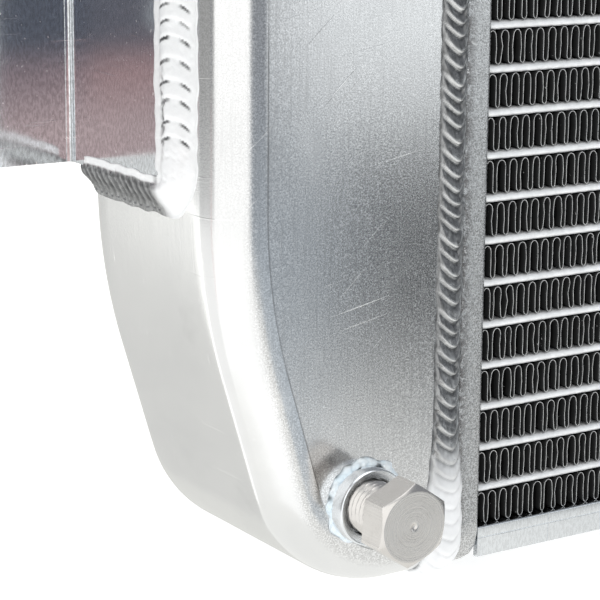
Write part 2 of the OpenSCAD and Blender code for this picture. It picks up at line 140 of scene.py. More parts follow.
def keep_flats_flat(mesh, limit):
    """Corner normals that follow the larger faces, so that flats don't pick up shading from
    the small curved faces beside them. Faces that meet at over limit degrees stay sharp."""
    least = math.cos(math.radians(limit))
    normals = [p.normal.copy() for p in mesh.polygons]
    areas = [p.area for p in mesh.polygons]
    around = [[] for _ in mesh.vertices]
    for face in mesh.polygons:
        for v in face.vertices:
            around[v].append(face.index)
    corners = []
    for face in mesh.polygons:
        own = normals[face.index]
        for v in face.vertices:
            total = sum((normals[k] * areas[k] for k in around[v] if normals[k].dot(own) > least),
                        Vector())
            corners.append(total.normalized())
    mesh.normals_split_custom_set(corners)


def add_piece(name, mesh, material, body="root", stands_for=None, sharp=35, tidy=True,
              flats=False):
    """Links a mesh as a named piece that rides on a body and stands for a CAD node."""
    if tidy:
        bm = bmesh.new()
        bm.from_mesh(mesh)
        bmesh.ops.remove_doubles(bm, verts=bm.verts, dist=0.004 * MM)
        bmesh.ops.recalc_face_normals(bm, faces=bm.faces)
        bm.to_mesh(mesh)
        bm.free()
    if sharp:
        mesh.shade_smooth()
        mesh.set_sharp_from_angle(angle=math.radians(sharp))
    if flats:
        keep_flats_flat(mesh, sharp)
    mesh.materials.clear()
    for m in material if isinstance(material, (list, tuple)) else [material]:
        mesh.materials.append(m)
    piece = bpy.data.objects.new(name, mesh)
    bpy.context.scene.collection.objects.link(piece)
    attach(piece, body)
    if stands_for:
        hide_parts(stands_for)


def mirrored(verts):
    """The same points at the right end of the radiator."""
    return verts * np.array([-1, 1, 1])


def straight(a, b, step):
    """Points from a towards b, about step apart and without b itself."""
    count = max(2, int(np.linalg.norm(np.subtract(b, a)) / step))
    return np.linspace(a, b, count, endpoint=False)


def rounded(points, radius):
    """A closed outline with its corners rounded by up to radius."""
    points = [np.array(p, float) for p in points]
    out = []
    for i, p in enumerate(points):
        a, b = points[i - 1] - p, points[(i + 1) % len(points)] - p
        la, lb = np.linalg.norm(a), np.linalg.norm(b)
        d = min(radius, 0.45 * la, 0.45 * lb)
        a, b = p + a / la * d, p + b / lb * d
        for t in np.linspace(0, 1, 4):
            out.append((1 - t) ** 2 * a + 2 * t * (1 - t) * p + t * t * b)
    return np.array(out)


def place_lathe(points, centre, facing):
    """Local points, with the axis along +Z, moved to face up or to the front."""
    if facing == "front":
        points = xyz(points[:, 0], -points[:, 2], points[:, 1])
    return points + np.array(centre)


def lathe(profile, centre, facing, steps=128):
    """Points and faces of a closed (radius, height) outline turned about its axis."""
    profile = np.asarray(profile)
    angle = np.linspace(0, 2 * math.pi, steps, endpoint=False)
    a, r = np.meshgrid(angle, profile[:, 0], indexing="ij")
    points = xyz(r * np.cos(a), r * np.sin(a), profile[:, 1])
    return place_lathe(points, centre, facing), tube_faces(steps, len(profile), True)


def on_front(name):
    """Centre, on the tanks' front face, and radius of a round CAD node."""
    low, high = node_box(name)
    x, _, z = (low + high) / 2
    return (x, FRONT_Y, z), (high[0] - low[0]) / 2


def smooth_step(x, low, high):
    t = np.clip((x - low) / (high - low), 0, 1)
    return t * t * (3 - 2 * t)


def waves(p, seed, size):
    """A smooth random field over points p, about -1 to 1, with bumps of that size in mm."""
    rng = np.random.default_rng(seed)
    count = 7
    total = np.zeros(p.shape[:-1])
    for _ in range(count):
        direction = rng.normal(size=p.shape[-1])
        direction *= rng.uniform(0.6, 1.6) * 2 * math.pi / size / np.linalg.norm(direction)
        total += np.sin(p @ direction + rng.uniform(0, 2 * math.pi))
    return total / math.sqrt(count)


# ---------------------------------------------------------------- materials

# Shader coordinates and bump distances are in metres, so a noise scale is in lumps a metre:
# 2700 is grit of a third of a millimetre, 14 clouds of 70 mm.


class Nodes:
    """Short calls for building the node tree of a material or of the world."""

    def __init__(self, owner, shader="Principled BSDF"):
        owner.use_nodes = True
        self.owner = owner
        self.tree = owner.node_tree
        self.shader = self.tree.nodes[shader]
        self.coords = self.add("TexCoord").outputs
        self.place = self.coords["Object"]

    def add(self, kind, settings=None, **inputs):
        made = self.tree.nodes.new("ShaderNode" + kind)
        for key, value in (settings or {}).items():
            setattr(made, key, value)
        self.fill(made, inputs)
        return made

    def fill(self, node, inputs):
        for key, value in inputs.items():
            self.feed(node.inputs[key.replace("_", " ")], value)

    def feed(self, socket, value):
        if isinstance(value, bpy.types.NodeSocket):
            self.tree.links.new(value, socket)
        else:
            socket.default_value = value

    def stretched(self, scale, turn=(0, 0, 0)):
        return self.add("Mapping", Vector=self.place, Scale=scale, Rotation=turn).outputs[0]

    def slanted(self, size, turn):
        """Object coordinates turned first and then stretched, for marks at an angle."""
        made = self.add("Mapping", {"vector_type": "TEXTURE"}, Vector=self.place, Scale=size,
                        Rotation=turn)
        return made.outputs[0]

    def noise(self, scale, detail, rough=0.55, coords=None, warp=0.0):
        made = self.add("TexNoise", Vector=coords or self.place, Scale=scale, Detail=detail,
                        Roughness=rough, Distortion=warp)
        return made.outputs["Fac"]

    def painted(self, label):
        return self.add("Attribute", {"attribute_name": label}).outputs["Fac"]

    def spread(self, value, low, high, to_low=0.0, to_high=1.0, curve="LINEAR"):
        made = self.add("MapRange", {"interpolation_type": curve}, Value=value, From_Min=low,
                        From_Max=high, To_Min=to_low, To_Max=to_high)
        return made.outputs[0]

    def math(self, operation, a, b=0.0):
        made = self.add("Math", {"operation": operation})
        for socket, value in zip(made.inputs, (a, b)):
            self.feed(socket, value)
        return made.outputs[0]

    def times(self, a, b):
        return self.math("MULTIPLY", a, b)

    def most(self, a, b):
        return self.math("MAXIMUM", a, b)

    def mix(self, factor, a, b):
        made = self.add("Mix", {"data_type": "RGBA"})
        for socket, value in zip((0, 6, 7), (factor, a, b)):
            self.feed(made.inputs[socket], value)
        return made.outputs[2]

    def axis(self, which):
        return self.add("SeparateXYZ", Vector=self.place).outputs[which]

    def bump(self, height, distance, strength, under=None):
        made = self.add("Bump", Height=height, Distance=distance, Strength=strength)
        if under is not None:
            self.feed(made.inputs["Normal"], under)
        return made.outputs[0]

    def set(self, **inputs):
        """Fills the shader's own sockets and gives back the finished material."""
        self.fill(self.shader, inputs)
        return self.owner


def new_material(name):
    """The nodes of a new material, ready to be filled."""
    return Nodes(bpy.data.materials.new(name))


def grey(value, warm=0.0):
    """A nearly neutral colour; positive warm is beige, negative is bluish."""
    return (value * (1 + warm), value, value * (1 - warm), 1)


def tank_sheet():
    """Rolled sheet: cloudy smudges, fine upright grain, a few long scratches, and a painted shade
    line along the faces' fold.
    """
    n = new_material("tank_sheet")
    clouds = n.noise(14, 5, 0.6, warp=0.6)
    blots = n.noise(55, 4, 0.6)
    grain = n.noise(1, 3, 0.6, n.stretched((1500, 1500, 60)))
    grit = n.noise(2700, 3, 0.7)
    from_mid = n.math("ABSOLUTE", n.math("SUBTRACT", n.axis(1), MID_Y * MM))
    on_face = n.spread(from_mid, (HALF_D - 1.4) * MM, (HALF_D - 0.4) * MM)
    handled = n.most(on_face, n.spread(n.axis(2), -0.150, -0.122, 0.0, 0.5))
    scratch_a = n.noise(1, 2, 0.5, n.stretched((900, 900, 9), (0.1, 0.12, 0.35)))
    scratch_b = n.noise(1, 2, 0.5, n.stretched((14, 14, 700), (0.5, 0.3, 0.1)))
    lines = n.most(n.spread(scratch_a, 0.71, 0.77), n.spread(scratch_b, 0.74, 0.80))
    crossing = n.noise(1, 1, 0.4, n.slanted((0.07, 0.07, 0.0006), (0, -0.2, 0)))
    steep = n.noise(1, 1, 0.4, n.slanted((0.03, 0.03, 0.0006), (0, -0.75, 0)))
    nicks = n.most(n.spread(crossing, 0.70, 0.75), n.spread(steep, 0.72, 0.76))
    nicks = n.times(nicks, n.spread(n.noise(30, 2), 0.45, 0.6))
    smears = n.times(n.spread(n.noise(32, 2, 0.5, warp=1.6), 0.62, 0.74, 0, 0.5), on_face)
    colour = n.mix(n.spread(clouds, 0.35, 0.68), grey(0.86, -0.004), grey(0.76, -0.010))
    colour = n.mix(n.spread(blots, 0.62, 0.8, 0, 0.25), colour, grey(0.62, 0.0))
    streaks = n.most(n.spread(grit, 0.40, 0.56, 0.55, 0), n.spread(grain, 0.36, 0.5, 0.4, 0))
    colour = n.mix(n.times(streaks, handled), colour, grey(0.42))
    colour = n.mix(n.times(n.spread(grit, 0.54, 0.66, 0, 0.7), on_face), colour, grey(1.0))
    colour = n.mix(smears, colour, grey(0.98, 0.01))
    specks = n.noise(1100, 2, 0.5)
    bright = n.most(n.times(lines, 0.35), n.spread(specks, 0.70, 0.74, 0, 0.8))
    bright = n.most(bright, n.times(nicks, 0.9))
    colour = n.mix(n.times(bright, n.spread(on_face, 0, 1, 0.3, 1)), colour, grey(1.0))
    # Painted shade: a dark line along the fold between each flat face and its rounded edge.
    crease = n.times(n.painted("crease"), n.spread(blots, 0.3, 0.6, 0.4, 0.9))
    colour = n.mix(crease, colour, grey(0.2))
    rough = n.math("ADD", n.spread(clouds, 0.3, 0.7, 0.13, 0.18),
                   n.spread(grit, 0.3, 0.7, -0.03, 0.05))
    grain_bump = n.bump(grain, 0.00002, 0.3)
    return n.set(Base_Color=colour, Metallic=1.0, Roughness=rough,
                 Normal=n.bump(n.most(lines, nicks), 0.00004, 0.4,
                               n.bump(grit, 0.00002, 0.5, grain_bump)))


def header_sheet():
    """Etched header plate, speckled, with spatter and scorching beside the seam weld; the spatter
    is painted bright as glints.
    """
    n = new_material("header_sheet")
    from_mid = n.math("ABSOLUTE", n.axis(0))
    beside = n.spread(from_mid, (SEAM_X - 6.5) * MM, (SEAM_X - 3.9) * MM)
    grit = n.noise(2500, 4, 0.7)
    spots = n.noise(620, 4, 0.7)
    clouds = n.noise(60, 3, 0.6)
    colour = n.mix(n.spread(grit, 0.41, 0.59), grey(0.36, -0.01), grey(0.74, -0.015))
    colour = n.mix(n.spread(clouds, 0.4, 0.7, 0, 0.4), colour, grey(0.60, -0.02))
    scorch = n.times(beside, n.spread(spots, 0.40, 0.54))
    colour = n.mix(n.times(scorch, 0.9), colour, (0.16, 0.15, 0.15, 1))
    # Spatter specks painted bright as glints, most of them beside the seam.
    glints = n.times(n.spread(spots, 0.62, 0.66), n.spread(beside, 0.0, 1.0, 0.15, 1.0))
    colour = n.mix(glints, colour, grey(0.95))
    return n.set(Base_Color=colour, Metallic=1.0, Roughness=n.spread(grit, 0.3, 0.7, 0.20, 0.34),
                 Normal=n.bump(spots, 0.00012, 0.5, n.bump(grit, 0.00006, 0.6)))


def bright_sheet(name, grain_strength):
    """Mirror-like bracket and rail sheet with hairline scratches."""
    n = new_material(name)
    clouds = n.noise(18, 4, 0.6)
    hair = n.noise(1, 3, 0.6, n.stretched((30, 30, 1400), (0.35, 0.2, 0)))
    upright = n.noise(1, 2, 0.5, n.stretched((700, 700, 7), (0.05, 0.08, 0)))
    lines = n.most(n.spread(hair, 0.66, 0.74), n.spread(upright, 0.70, 0.76))
    colour = n.mix(n.spread(clouds, 0.35, 0.7), grey(0.84, -0.03), grey(0.74, -0.04))
    grain = n.noise(1, 3, 0.65, n.stretched((1700, 1700, 700)))
    specks = n.noise(800, 2, 0.5)
    colour = n.mix(n.spread(grain, 0.42, 0.56, grain_strength, 0), colour, grey(0.50, -0.02))
    bright = n.most(n.times(lines, 0.4), n.spread(specks, 0.70, 0.74))
    colour = n.mix(bright, colour, grey(1.0))
    rough = n.math("ADD", n.spread(clouds, 0.3, 0.7, 0.10, 0.16), n.times(bright, 0.25))
    return n.set(Base_Color=colour, Metallic=1.0, Roughness=rough,
                 Normal=n.bump(n.noise(60, 2), 0.00006, 0.3, n.bump(lines, 0.00004, 0.4)))


def weld_metal(name, haze):
    """Frosted weld: bright where clean, grey oxide elsewhere, dark oxide and painted shade in the
    valleys and along the edges, crests bright with a painted highlight, fine pitting.
    """
    n = new_material(name)
    valley_oxide_and_shade, clean, crest_highlight = (n.painted(label) for label in ("valley_oxide_and_shade", "clean", "crest_highlight"))
    lumps = n.noise(420, 4, 0.6)
    streaks = n.noise(1, 3, 0.6, n.stretched((1300, 1300, 260)))
    pits = n.noise(2600, 3, 0.6)
    oxide = n.mix(n.spread(streaks, 0.35, 0.68), grey(0.30, -0.02), grey(0.08, -0.02))
    frost = n.mix(n.spread(lumps, 0.35, 0.7), grey(0.97, -0.012), grey(0.86, -0.01))
    frost = n.mix(n.spread(n.noise(120, 3, 0.6), 0.38, 0.6), frost, haze)
    # The crests take the clean frost colour as a painted highlight.
    colour = n.mix(n.most(clean, crest_highlight), oxide, frost)
    # Near-black oxide and painted shade in the valleys and along the edges.
    dark = n.times(valley_oxide_and_shade, n.spread(lumps, 0.3, 0.6, 0.6, 1.0))
    colour = n.mix(dark, colour, (0.05, 0.052, 0.055, 1))
    rough = n.math("ADD", n.spread(lumps, 0.3, 0.7, 0.20, 0.36), n.times(clean, 0.10))
    return n.set(Base_Color=colour, Metallic=n.spread(clean, 0.0, 1.0, 1.0, 0.12), Roughness=rough,
                 Normal=n.bump(pits, 0.00005, 0.35, n.bump(lumps, 0.00025, 0.5)))


def tube_metal():
    """Drawn flat tube with a pale flux bloom from brazing."""
    n = new_material("tube_metal")
    bloom = n.noise(380, 4, 0.65)
    fine = n.noise(2200, 2, 0.6)
    colour = n.mix(n.spread(bloom, 0.35, 0.7), grey(0.96, -0.012), grey(0.80, -0.02))
    return n.set(Base_Color=colour, Metallic=0.45, Roughness=n.spread(bloom, 0.3, 0.7, 0.34, 0.5),
                 Normal=n.bump(fine, 0.00005, 0.4))


def fin_edge():
    """Cut edge of the fin foil."""
    n = new_material("fin_edge")
    specks = n.noise(900, 3, 0.7)
    colour = n.mix(n.spread(specks, 0.4, 0.75), grey(0.62, -0.01), grey(0.95))
    return n.set(Base_Color=colour, Metallic=0.85, Roughness=n.spread(specks, 0.3, 0.7, 0.22, 0.42))


def fin_wall():
    """Side of the fin foil, with painted shade that deepens away from the edges, and louvre slits.
    """
    n = new_material("fin_wall")
    y = n.axis(1)
    depth = n.math("MINIMUM", n.math("SUBTRACT", y, FIN_FRONT_Y * MM),
                   n.math("SUBTRACT", FIN_REAR_Y * MM, y))
    louvres = n.add("TexWave", {"wave_type": "BANDS", "bands_direction": "Y"}, Vector=n.place,
                    Scale=160.0, Distortion=0.3).outputs["Fac"]
    specks = n.noise(700, 3, 0.7)
    # Painted shade: the walls turn near black within 2 mm of the front and rear edges.
    shade = n.spread(depth, 0.0, 0.002, 0.045, 0.003)
    shade = n.times(shade, n.spread(louvres, 0.2, 0.8, 0.55, 1.0))
    colour = n.mix(n.spread(specks, 0.70, 0.76), n.mix(shade, grey(0.0), grey(1.0, -0.03)),
                   grey(0.6))
    return n.set(Base_Color=colour, Metallic=0.0, Roughness=0.55, Specular_IOR_Level=0.05)


def turned_metal(name, value, warm, centre, facing, pitch, rough):
    """Turned surface: fine rings about an axis that faces up or to the front, with painted
    shade where the mesh's "groove" attribute marks a thread's roots."""
    n = new_material(name)
    x, y, z = (n.axis(i) for i in range(3))
    side = z if facing == "front" else y
    at = centre[2] if facing == "front" else centre[1]
    dx = n.math("SUBTRACT", x, centre[0] * MM)
    ds = n.math("SUBTRACT", side, at * MM)
    radius = n.math("SQRT", n.math("ADD", n.times(dx, dx), n.times(ds, ds)))
    blots = n.noise(260, 4, 0.6)
    rings = n.noise(1, 3, 0.7, n.add("CombineXYZ", X=n.math("DIVIDE", radius, pitch)).outputs[0])
    colour = n.mix(n.spread(rings, 0.3, 0.7), grey(value * 0.93, warm), grey(value * 1.06, warm))
    colour = n.mix(n.spread(blots, 0.5, 0.8, 0, 0.35), colour, grey(value * 0.82, warm * 1.4))
    # Painted shade in the roots of the plug's thread.
    colour = n.mix(n.painted("groove"), colour, grey(0.14, warm))
    return n.set(Base_Color=colour, Metallic=1.0,
                 Roughness=n.math("ADD", n.spread(rings, 0.3, 0.7, -0.06, 0.07), rough),
                 Normal=n.bump(rings, 0.00006, 0.6))


def spun_metal(name, value, warm, rough):
    """Plated or pressed steel with faint blotches and fine scratches."""
    n = new_material(name)
    blots = n.noise(90, 4, 0.6)
    hair = n.noise(1, 3, 0.6, n.stretched((1200, 60, 200), (0.4, 0.2, 0.8)))
    colour = n.mix(n.spread(blots, 0.35, 0.75), grey(value, warm), grey(value * 0.85, warm))
    colour = n.mix(n.spread(hair, 0.68, 0.76, 0, 0.5), colour, grey(0.95, warm))
    return n.set(Base_Color=colour, Metallic=1.0,
                 Roughness=n.math("ADD", n.spread(blots, 0.3, 0.7, 0.0, 0.10), rough),
                 Normal=n.bump(hair, 0.00003, 0.3))


def rubber():
    """Moulded black rubber."""
    n = new_material("rubber")
    dust = n.noise(500, 4, 0.7)
    return n.set(Base_Color=n.mix(n.spread(dust, 0.5, 0.8, 0, 0.6), grey(0.02), grey(0.10)),
                 Roughness=n.spread(dust, 0.3, 0.7, 0.55, 0.75), Normal=n.bump(dust, 0.0001, 0.4))


# ---------------------------------------------------------------- tanks


def arc(centre, radius, start, end, step_deg=2.5):
    """Points and outward directions along an arc; 0 is outward, 90 degrees is down."""
    count = max(2, int(abs(math.degrees(end - start)) / step_deg) + 1)
    a = np.linspace(start, end, count)
    out = np.stack([-np.cos(a), -np.sin(a)], 1)
    return centre + radius * out, out


def lower_outline():
    """Outline of the left tank's lower end in X and Z, from the seam out and up."""
    down = math.pi / 2
    bend = np.array([-OUTER_X + SLOPE_BEND_R, SLOPE_START_Z])
    slope_out = np.array([-math.cos(SLOPE), -math.sin(SLOPE)])
    line = bend + (SLOPE_BEND_R - CORNER_R) * slope_out
    run = (line[1] + HALF_H - CORNER_R) / math.cos(SLOPE)
    corner = np.array([line[0] + run * math.sin(SLOPE), CORNER_R - HALF_H])
    return [arc(corner, CORNER_R, down, SLOPE), arc(bend, SLOPE_BEND_R, SLOPE, 0, 0.8)]


def square_outline():
    """The same for an end with one plain corner radius."""
    corner = np.array([-OUTER_X + TOP_CORNER_R, TOP_CORNER_R - HALF_H])
    return [arc(corner, TOP_CORNER_R, math.pi / 2, 0)]


def filled(points, outs, step):
    """Adds points on the straight stretches of an outline so that none is over step long."""
    p_all, o_all = [points[0]], [outs[0]]
    for a, b, oa, ob in zip(points[:-1], points[1:], outs[:-1], outs[1:]):
        count = max(1, int(np.linalg.norm(b - a) / step))
        for k in range(1, count + 1):
            t = k / count
            o = oa + (ob - oa) * t
            p_all.append(a + (b - a) * t)
            o_all.append(o / np.linalg.norm(o))
    return np.array(p_all), np.array(o_all)


def tank_outline(square_top):
    """The whole outline of the left tank from its lower seam round to its upper seam."""
    up = np.array([1, -1])
    lower = lower_outline()
    upper = [(p * up, o * up) for p, o in (square_outline() if square_top else lower_outline())]
    first = (np.array([[-SEAM_X, -HALF_H]]), np.array([[0.0, -1.0]]))
    last = (first[0] * up, first[1] * up)
    runs = [first, *lower, *[(p[::-1], o[::-1]) for p, o in reversed(upper)], last]
    return filled(np.concatenate([p for p, _ in runs]), np.concatenate([o for _, o in runs]), 4.0)


def open_hole(verts, quads, centre, radius):
    """Cuts a round hole in the flat front face: drops the faces inside, rounds the rim."""
    centre = np.array(centre)[[0, 2]]
    flat = np.abs(verts[:, 1] - FRONT_Y) < 1.0
    offset = verts[:, [0, 2]] - centre
    dist = np.linalg.norm(offset, axis=1)
    inside = flat & (dist < radius)
    quads = quads[~inside[quads].all(axis=1)]
    scale = (radius / np.maximum(dist[inside], 0.1))[:, None]
    verts[np.ix_(np.where(inside)[0], [0, 2])] = centre + offset[inside] * scale
    return verts, quads


def tank(name, right, hole, material):
    """A tank shell: rounded edges, flat front and rear faces, gently uneven sheet. The
    band round its edge comes first, and then the two faces, from the band to the seam."""
    outline, outs = tank_outline(right)
    quarter = np.radians(np.append([0.0, 0.8], np.linspace(5, 90, 13)))
    fold = math.radians(FOLD_DEG)
    edge_in = EDGE_R + (0 if right else EDGE_EXTRA) * outs[:, 0] ** 2
    wall_y = np.linspace(FRONT_Y + EDGE_R, REAR_Y - EDGE_R, 16)[1:-1]
    curve = fold + (1 - fold / (math.pi / 2)) * quarter
    run = (np.sin(curve) - math.sin(fold)) / (1 - math.sin(fold))
    drop = EDGE_R * (math.cos(fold) - np.cos(curve)) / math.cos(fold)
    inset = np.concatenate([1 - run, np.zeros(len(wall_y)), 1 - run[::-1]])
    y = np.concatenate([FRONT_Y + drop, wall_y, REAR_Y - drop[::-1]])
    xz = outline[:, None, :] - (outs * edge_in[:, None])[:, None, :] * inset[None, :, None]
    crease = outline - outs * edge_in[:, None]
    length = np.concatenate([[0], np.cumsum(np.linalg.norm(np.diff(crease, axis=0), axis=1))])
    seam_z = crease[0, 1] + (crease[-1, 1] - crease[0, 1]) * length / length[-1]
    fold_column = 0.008
    across = np.append([0.0, fold_column], np.linspace(0, 1, 18)[1:])[None, :, None]
    seam = np.stack([np.full(len(seam_z), -SEAM_X), seam_z], 1)
    flat_xz = crease[:, None, :] * (1 - across) + seam[:, None, :] * across
    rows = len(outline)
    verts = [xyz(xz[..., 0], y, xz[..., 1])]
    faces, start = [grid_faces(rows, len(y))], rows * len(y)
    for face_y in (FRONT_Y, REAR_Y):
        verts.append(xyz(flat_xz[..., 0], face_y, flat_xz[..., 1]))
        faces.append(grid_faces(rows, across.size, start=start))
        start += rows * across.size
    verts, quads = np.concatenate(verts), np.concatenate(faces)
    # Rows along the fold, which the sheet material paints with a shade line.
    fold_shade = np.zeros(len(verts))
    fold_shade[:rows * len(y)].reshape(rows, len(y))[:, [0, -1]] = 1
    fold_shade[rows * len(y)::across.size] = 1
    verts = mirrored(verts) if right else verts
    verts, quads = open_hole(verts, quads, *hole)
    flat = (np.abs(verts[:, 1] - FRONT_Y) < 0.01) | (np.abs(verts[:, 1] - REAR_Y) < 0.01)
    fade = smooth_step(np.abs(verts[:, 0]), SEAM_X, SEAM_X + 12)
    flat_half = HALF_D - EDGE_R
    side = np.clip(1 - ((verts[:, 1] - MID_Y) / flat_half) ** 2, 0, 1)
    outer = np.abs(verts[:, 0]) > OUTER_X - 0.01
    verts[:, 0] += np.where(outer, WALL_BULGE, 0) * side * np.sign(verts[:, 0])
    face_mid = (OUTER_X - EDGE_R - EDGE_EXTRA + SEAM_X) / 2
    face_half = OUTER_X - EDGE_R - EDGE_EXTRA - face_mid
    bulge = np.clip(1 - ((np.abs(verts[:, 0]) - face_mid) / face_half) ** 2, 0, 1)
    verts[:, 1] += np.where(flat, FACE_BULGE, 0) * bulge * np.sign(verts[:, 1] - MID_Y)
    inward = np.sign(MID_Y - verts[:, 1]) * np.where(flat, 1, 0)
    verts[:, 1] += inward * fade * 0.05 * (1.2 + waves(verts, 3, 80))
    mesh = mesh_from(name, verts, [quads])
    paint(mesh, "crease", fold_shade)
    add_piece(name + "_sheet", mesh, material, stands_for=name, sharp=0)
    mesh.shade_smooth()


# ---------------------------------------------------------------- headers and seam welds


def ring_path(half_y, half_z, radius, step):
    """Round a rounded rectangle from its bottom middle, front side first.

    Gives points (y, z), outward directions, and the distance from the bottom middle
    along the nearer side."""
    flat_y, flat_z = half_y - radius, half_z - radius

    def line(a, b, out):
        points = straight(a, b, step)
        return points, np.tile(out, (len(points), 1))

    def corner(centre, start):
        count = max(4, int(radius * math.pi / 2 / step))
        a = start - np.linspace(0, math.pi / 2, count, endpoint=False)
        out = np.stack([np.cos(a), np.sin(a)], 1)
        return np.array(centre) + radius * out, out

    parts = [
        line((0, -half_z), (-flat_y, -half_z), (0, -1)),
        corner((-flat_y, -flat_z), -math.pi / 2),
        line((-half_y, -flat_z), (-half_y, flat_z), (-1, 0)),
        corner((-flat_y, flat_z), math.pi),
        line((-flat_y, half_z), (flat_y, half_z), (0, 1)),
        corner((flat_y, flat_z), math.pi / 2),
        line((half_y, flat_z), (half_y, -flat_z), (1, 0)),
        corner((flat_y, -flat_z), 0),
        line((flat_y, -half_z), (0, -half_z), (0, -1)),
    ]
    points = np.concatenate([p for p, _ in parts])
    outs = np.concatenate([o for _, o in parts])
    gaps = np.linalg.norm(np.diff(points, axis=0, append=points[:1]), axis=1)
    along = np.concatenate([[0], np.cumsum(gaps)[:-1]])
    return points + np.array([MID_Y, 0]), outs, np.minimum(along, gaps.sum() - along)


def header(name, right, material):
    """The dished header plate: a flat rim, a rolled edge towards the core, and its face."""
    roll = 2.2
    turn = np.linspace(0, math.pi / 2, 6)
    stations = [(-SEAM_X, 0.0), (-SEAM_X + 4, 0.0)]
    stations += [(-CORE_X - roll + roll * math.sin(a), roll - roll * math.cos(a)) for a in turn]
    loops = [ring_path(HALF_D - inset, HALF_H - inset, EDGE_R - inset, 3.0)[0]
             for _, inset in stations]
    count = min(len(p) for p in loops)
    loops = [p[np.linspace(0, len(p) - 1, count).round().astype(int)] for p in loops]
    verts = np.concatenate([xyz(x, *p.T) for (x, _), p in zip(stations, loops)])
    mesh = mesh_from(name, mirrored(verts) if right else verts, tube_faces(len(stations), count))
    add_piece(name + "_plate", mesh, material, stands_for=name)


def ripple(travel, t, pitch, swing, seed, bow_power, apex, lead):
    """Scallops of a weld bead laid along its travel, each with one steep raised edge.

    The edges are U-shaped where swing is positive and arched where it is negative, with
    their tips at t = apex. The valleys, dark with oxide and painted shade, are shifted along
    the bead by lead, a part of a pitch. Gives the height, the valleys' oxide and painted shade,
    and the crests' painted highlight, each about 0 to 1."""
    rng = np.random.default_rng(seed)
    steps = pitch * rng.uniform(0.78, 1.22, int(travel.max() / pitch * 1.5) + 20)
    edges = np.cumsum(steps) - 6 * pitch
    bow = swing * (1 - np.abs((t - apex) / (1 + np.sign(apex - t) * apex)) ** bow_power)
    phase = np.interp(travel + bow, edges, np.arange(len(edges)))
    f = phase - np.floor(phase)
    height = smooth_step(f, 0.0, 0.30) * (1 - f) ** 0.8
    g = np.mod(phase + lead, 1.0)
    valley_oxide_and_shade = np.exp(-(g / 0.04) ** 2) + np.exp(-((g - 1.0) / 0.14) ** 2)
    crest_highlight = np.exp(-((f - 0.17) / 0.11) ** 2)
    return height / 0.76, np.clip(valley_oxide_and_shade, 0, 1), crest_highlight


TOE_SHADOW_W = 0.27  # how far the painted shadow line along a bead's edge reaches over it


def all_live(t):
    """Ripples all across a bead, fading only at its edges."""
    return 1 - np.abs(t) ** 3


def bead_mesh(name, path, across, out, travel, half_w, profile, pitch, swing, depth, seed,
              calm, clean, closed=True, columns=25, live=all_live, scorch=None,
              uneven=0.05, ends_dark=0.0, bow_power=1.6, apex=0.0, fringe=0.0, lumpy=0.07,
              wander=7.0):
    """A weld bead along a path. profile(t) is its smooth height across t from -1 to 1,
    live(t) where it is rippled, depth the height of the ripples. Along the path, calm (0 to
    1) smooths the ripples away, clean sets how bright the metal is, scorch adds dark pits,
    ends_dark leaves only the ripples' ends dark with oxide and painted shade, and fringe adds
    a clean strip at t = -1. The valleys are painted dark with oxide and painted shade, the
    edges with a painted shadow line, and the crests with a painted highlight. lumpy is the
    depth of small lumps, and uneven how much the width wanders."""
    t = np.linspace(-1, 1, columns)
    tt, ss = np.meshgrid(t, travel)
    depth, calm, clean, ends_dark, fringe = (
        np.reshape(value, (-1, 1)) for value in (depth, calm, clean, ends_dark, fringe))
    height, valley_oxide_and_shade, crest_highlight = ripple(ss, tt, pitch, swing, seed, bow_power, apex, 0.38 * fringe)
    rippled = (1 - calm) * live(tt)
    width = (half_w * (1 + uneven * waves(path, seed + 1, wander)))[:, None]
    at = path[:, None, :] + across[:, None, :] * (tt * width)[..., None]
    lift = profile(tt) - depth * rippled * (1 - height)
    lift += np.minimum(lumpy * waves(at, seed + 2, 1.8) * (1 - tt ** 6), 0.0)
    # Painted shadow line along the bead's edges, where it meets the sheet.
    toe_shadow = np.exp(-((1 - np.abs(tt)) * width / TOE_SHADOW_W) ** 2)
    toe_shadow *= smooth_step(waves(at, seed + 4, 3.0), -0.5, 0.6)
    tips = smooth_step(np.abs(tt - 0.12), 0.10, 0.28) * (1 - smooth_step(tt, 0.56, 0.70))
    tips = smooth_step(valley_oxide_and_shade, 0.2, 0.6) * tips * smooth_step(rippled, 0.05, 0.3)
    valley_oxide_and_shade = valley_oxide_and_shade ** (1 - 0.65 * fringe)
    # Oxide and painted shade: at the ripples' ends where ends_dark is set, in the valleys and along
    # the edges elsewhere.
    dark = ends_dark * tips + (1 - ends_dark) * (valley_oxide_and_shade * rippled + toe_shadow * 0.9)
    if scorch is not None:
        pit = scorch[:, None] * np.exp(-((tt + 0.42) / 0.10) ** 2)
        pit = np.clip(pit * (0.9 + 0.9 * waves(at, seed + 5, 2.0)), 0, 1)
        lift -= 0.5 * pit
        dark += pit
    lift[:, [0, -1]] = -0.25
    strip = fringe * smooth_step(-tt, 0.50, 0.66)
    verts = at + out[:, None, :] * lift[..., None]
    mesh = mesh_from(name, verts.reshape(-1, 3), tube_faces(len(path), columns, closed))
    paint(mesh, "valley_oxide_and_shade", np.clip(dark * (1 - strip), 0, 1))
    # Painted highlight on the crests, on the half of the bead below t = 0.
    paint(mesh, "crest_highlight", crest_highlight * rippled * (1 - smooth_step(tt, 0.0, 0.6)))
    paint(mesh, "clean", np.maximum(clean, strip))
    return mesh


def add_bead(name, mesh, right, material):
    """Adds a finished bead, turned over to the right end where it belongs there."""
    if right:
        mesh.transform(Matrix.Diagonal((-1, 1, 1, 1)))
    add_piece(name + "_bead", mesh, material, stands_for=name, sharp=0)


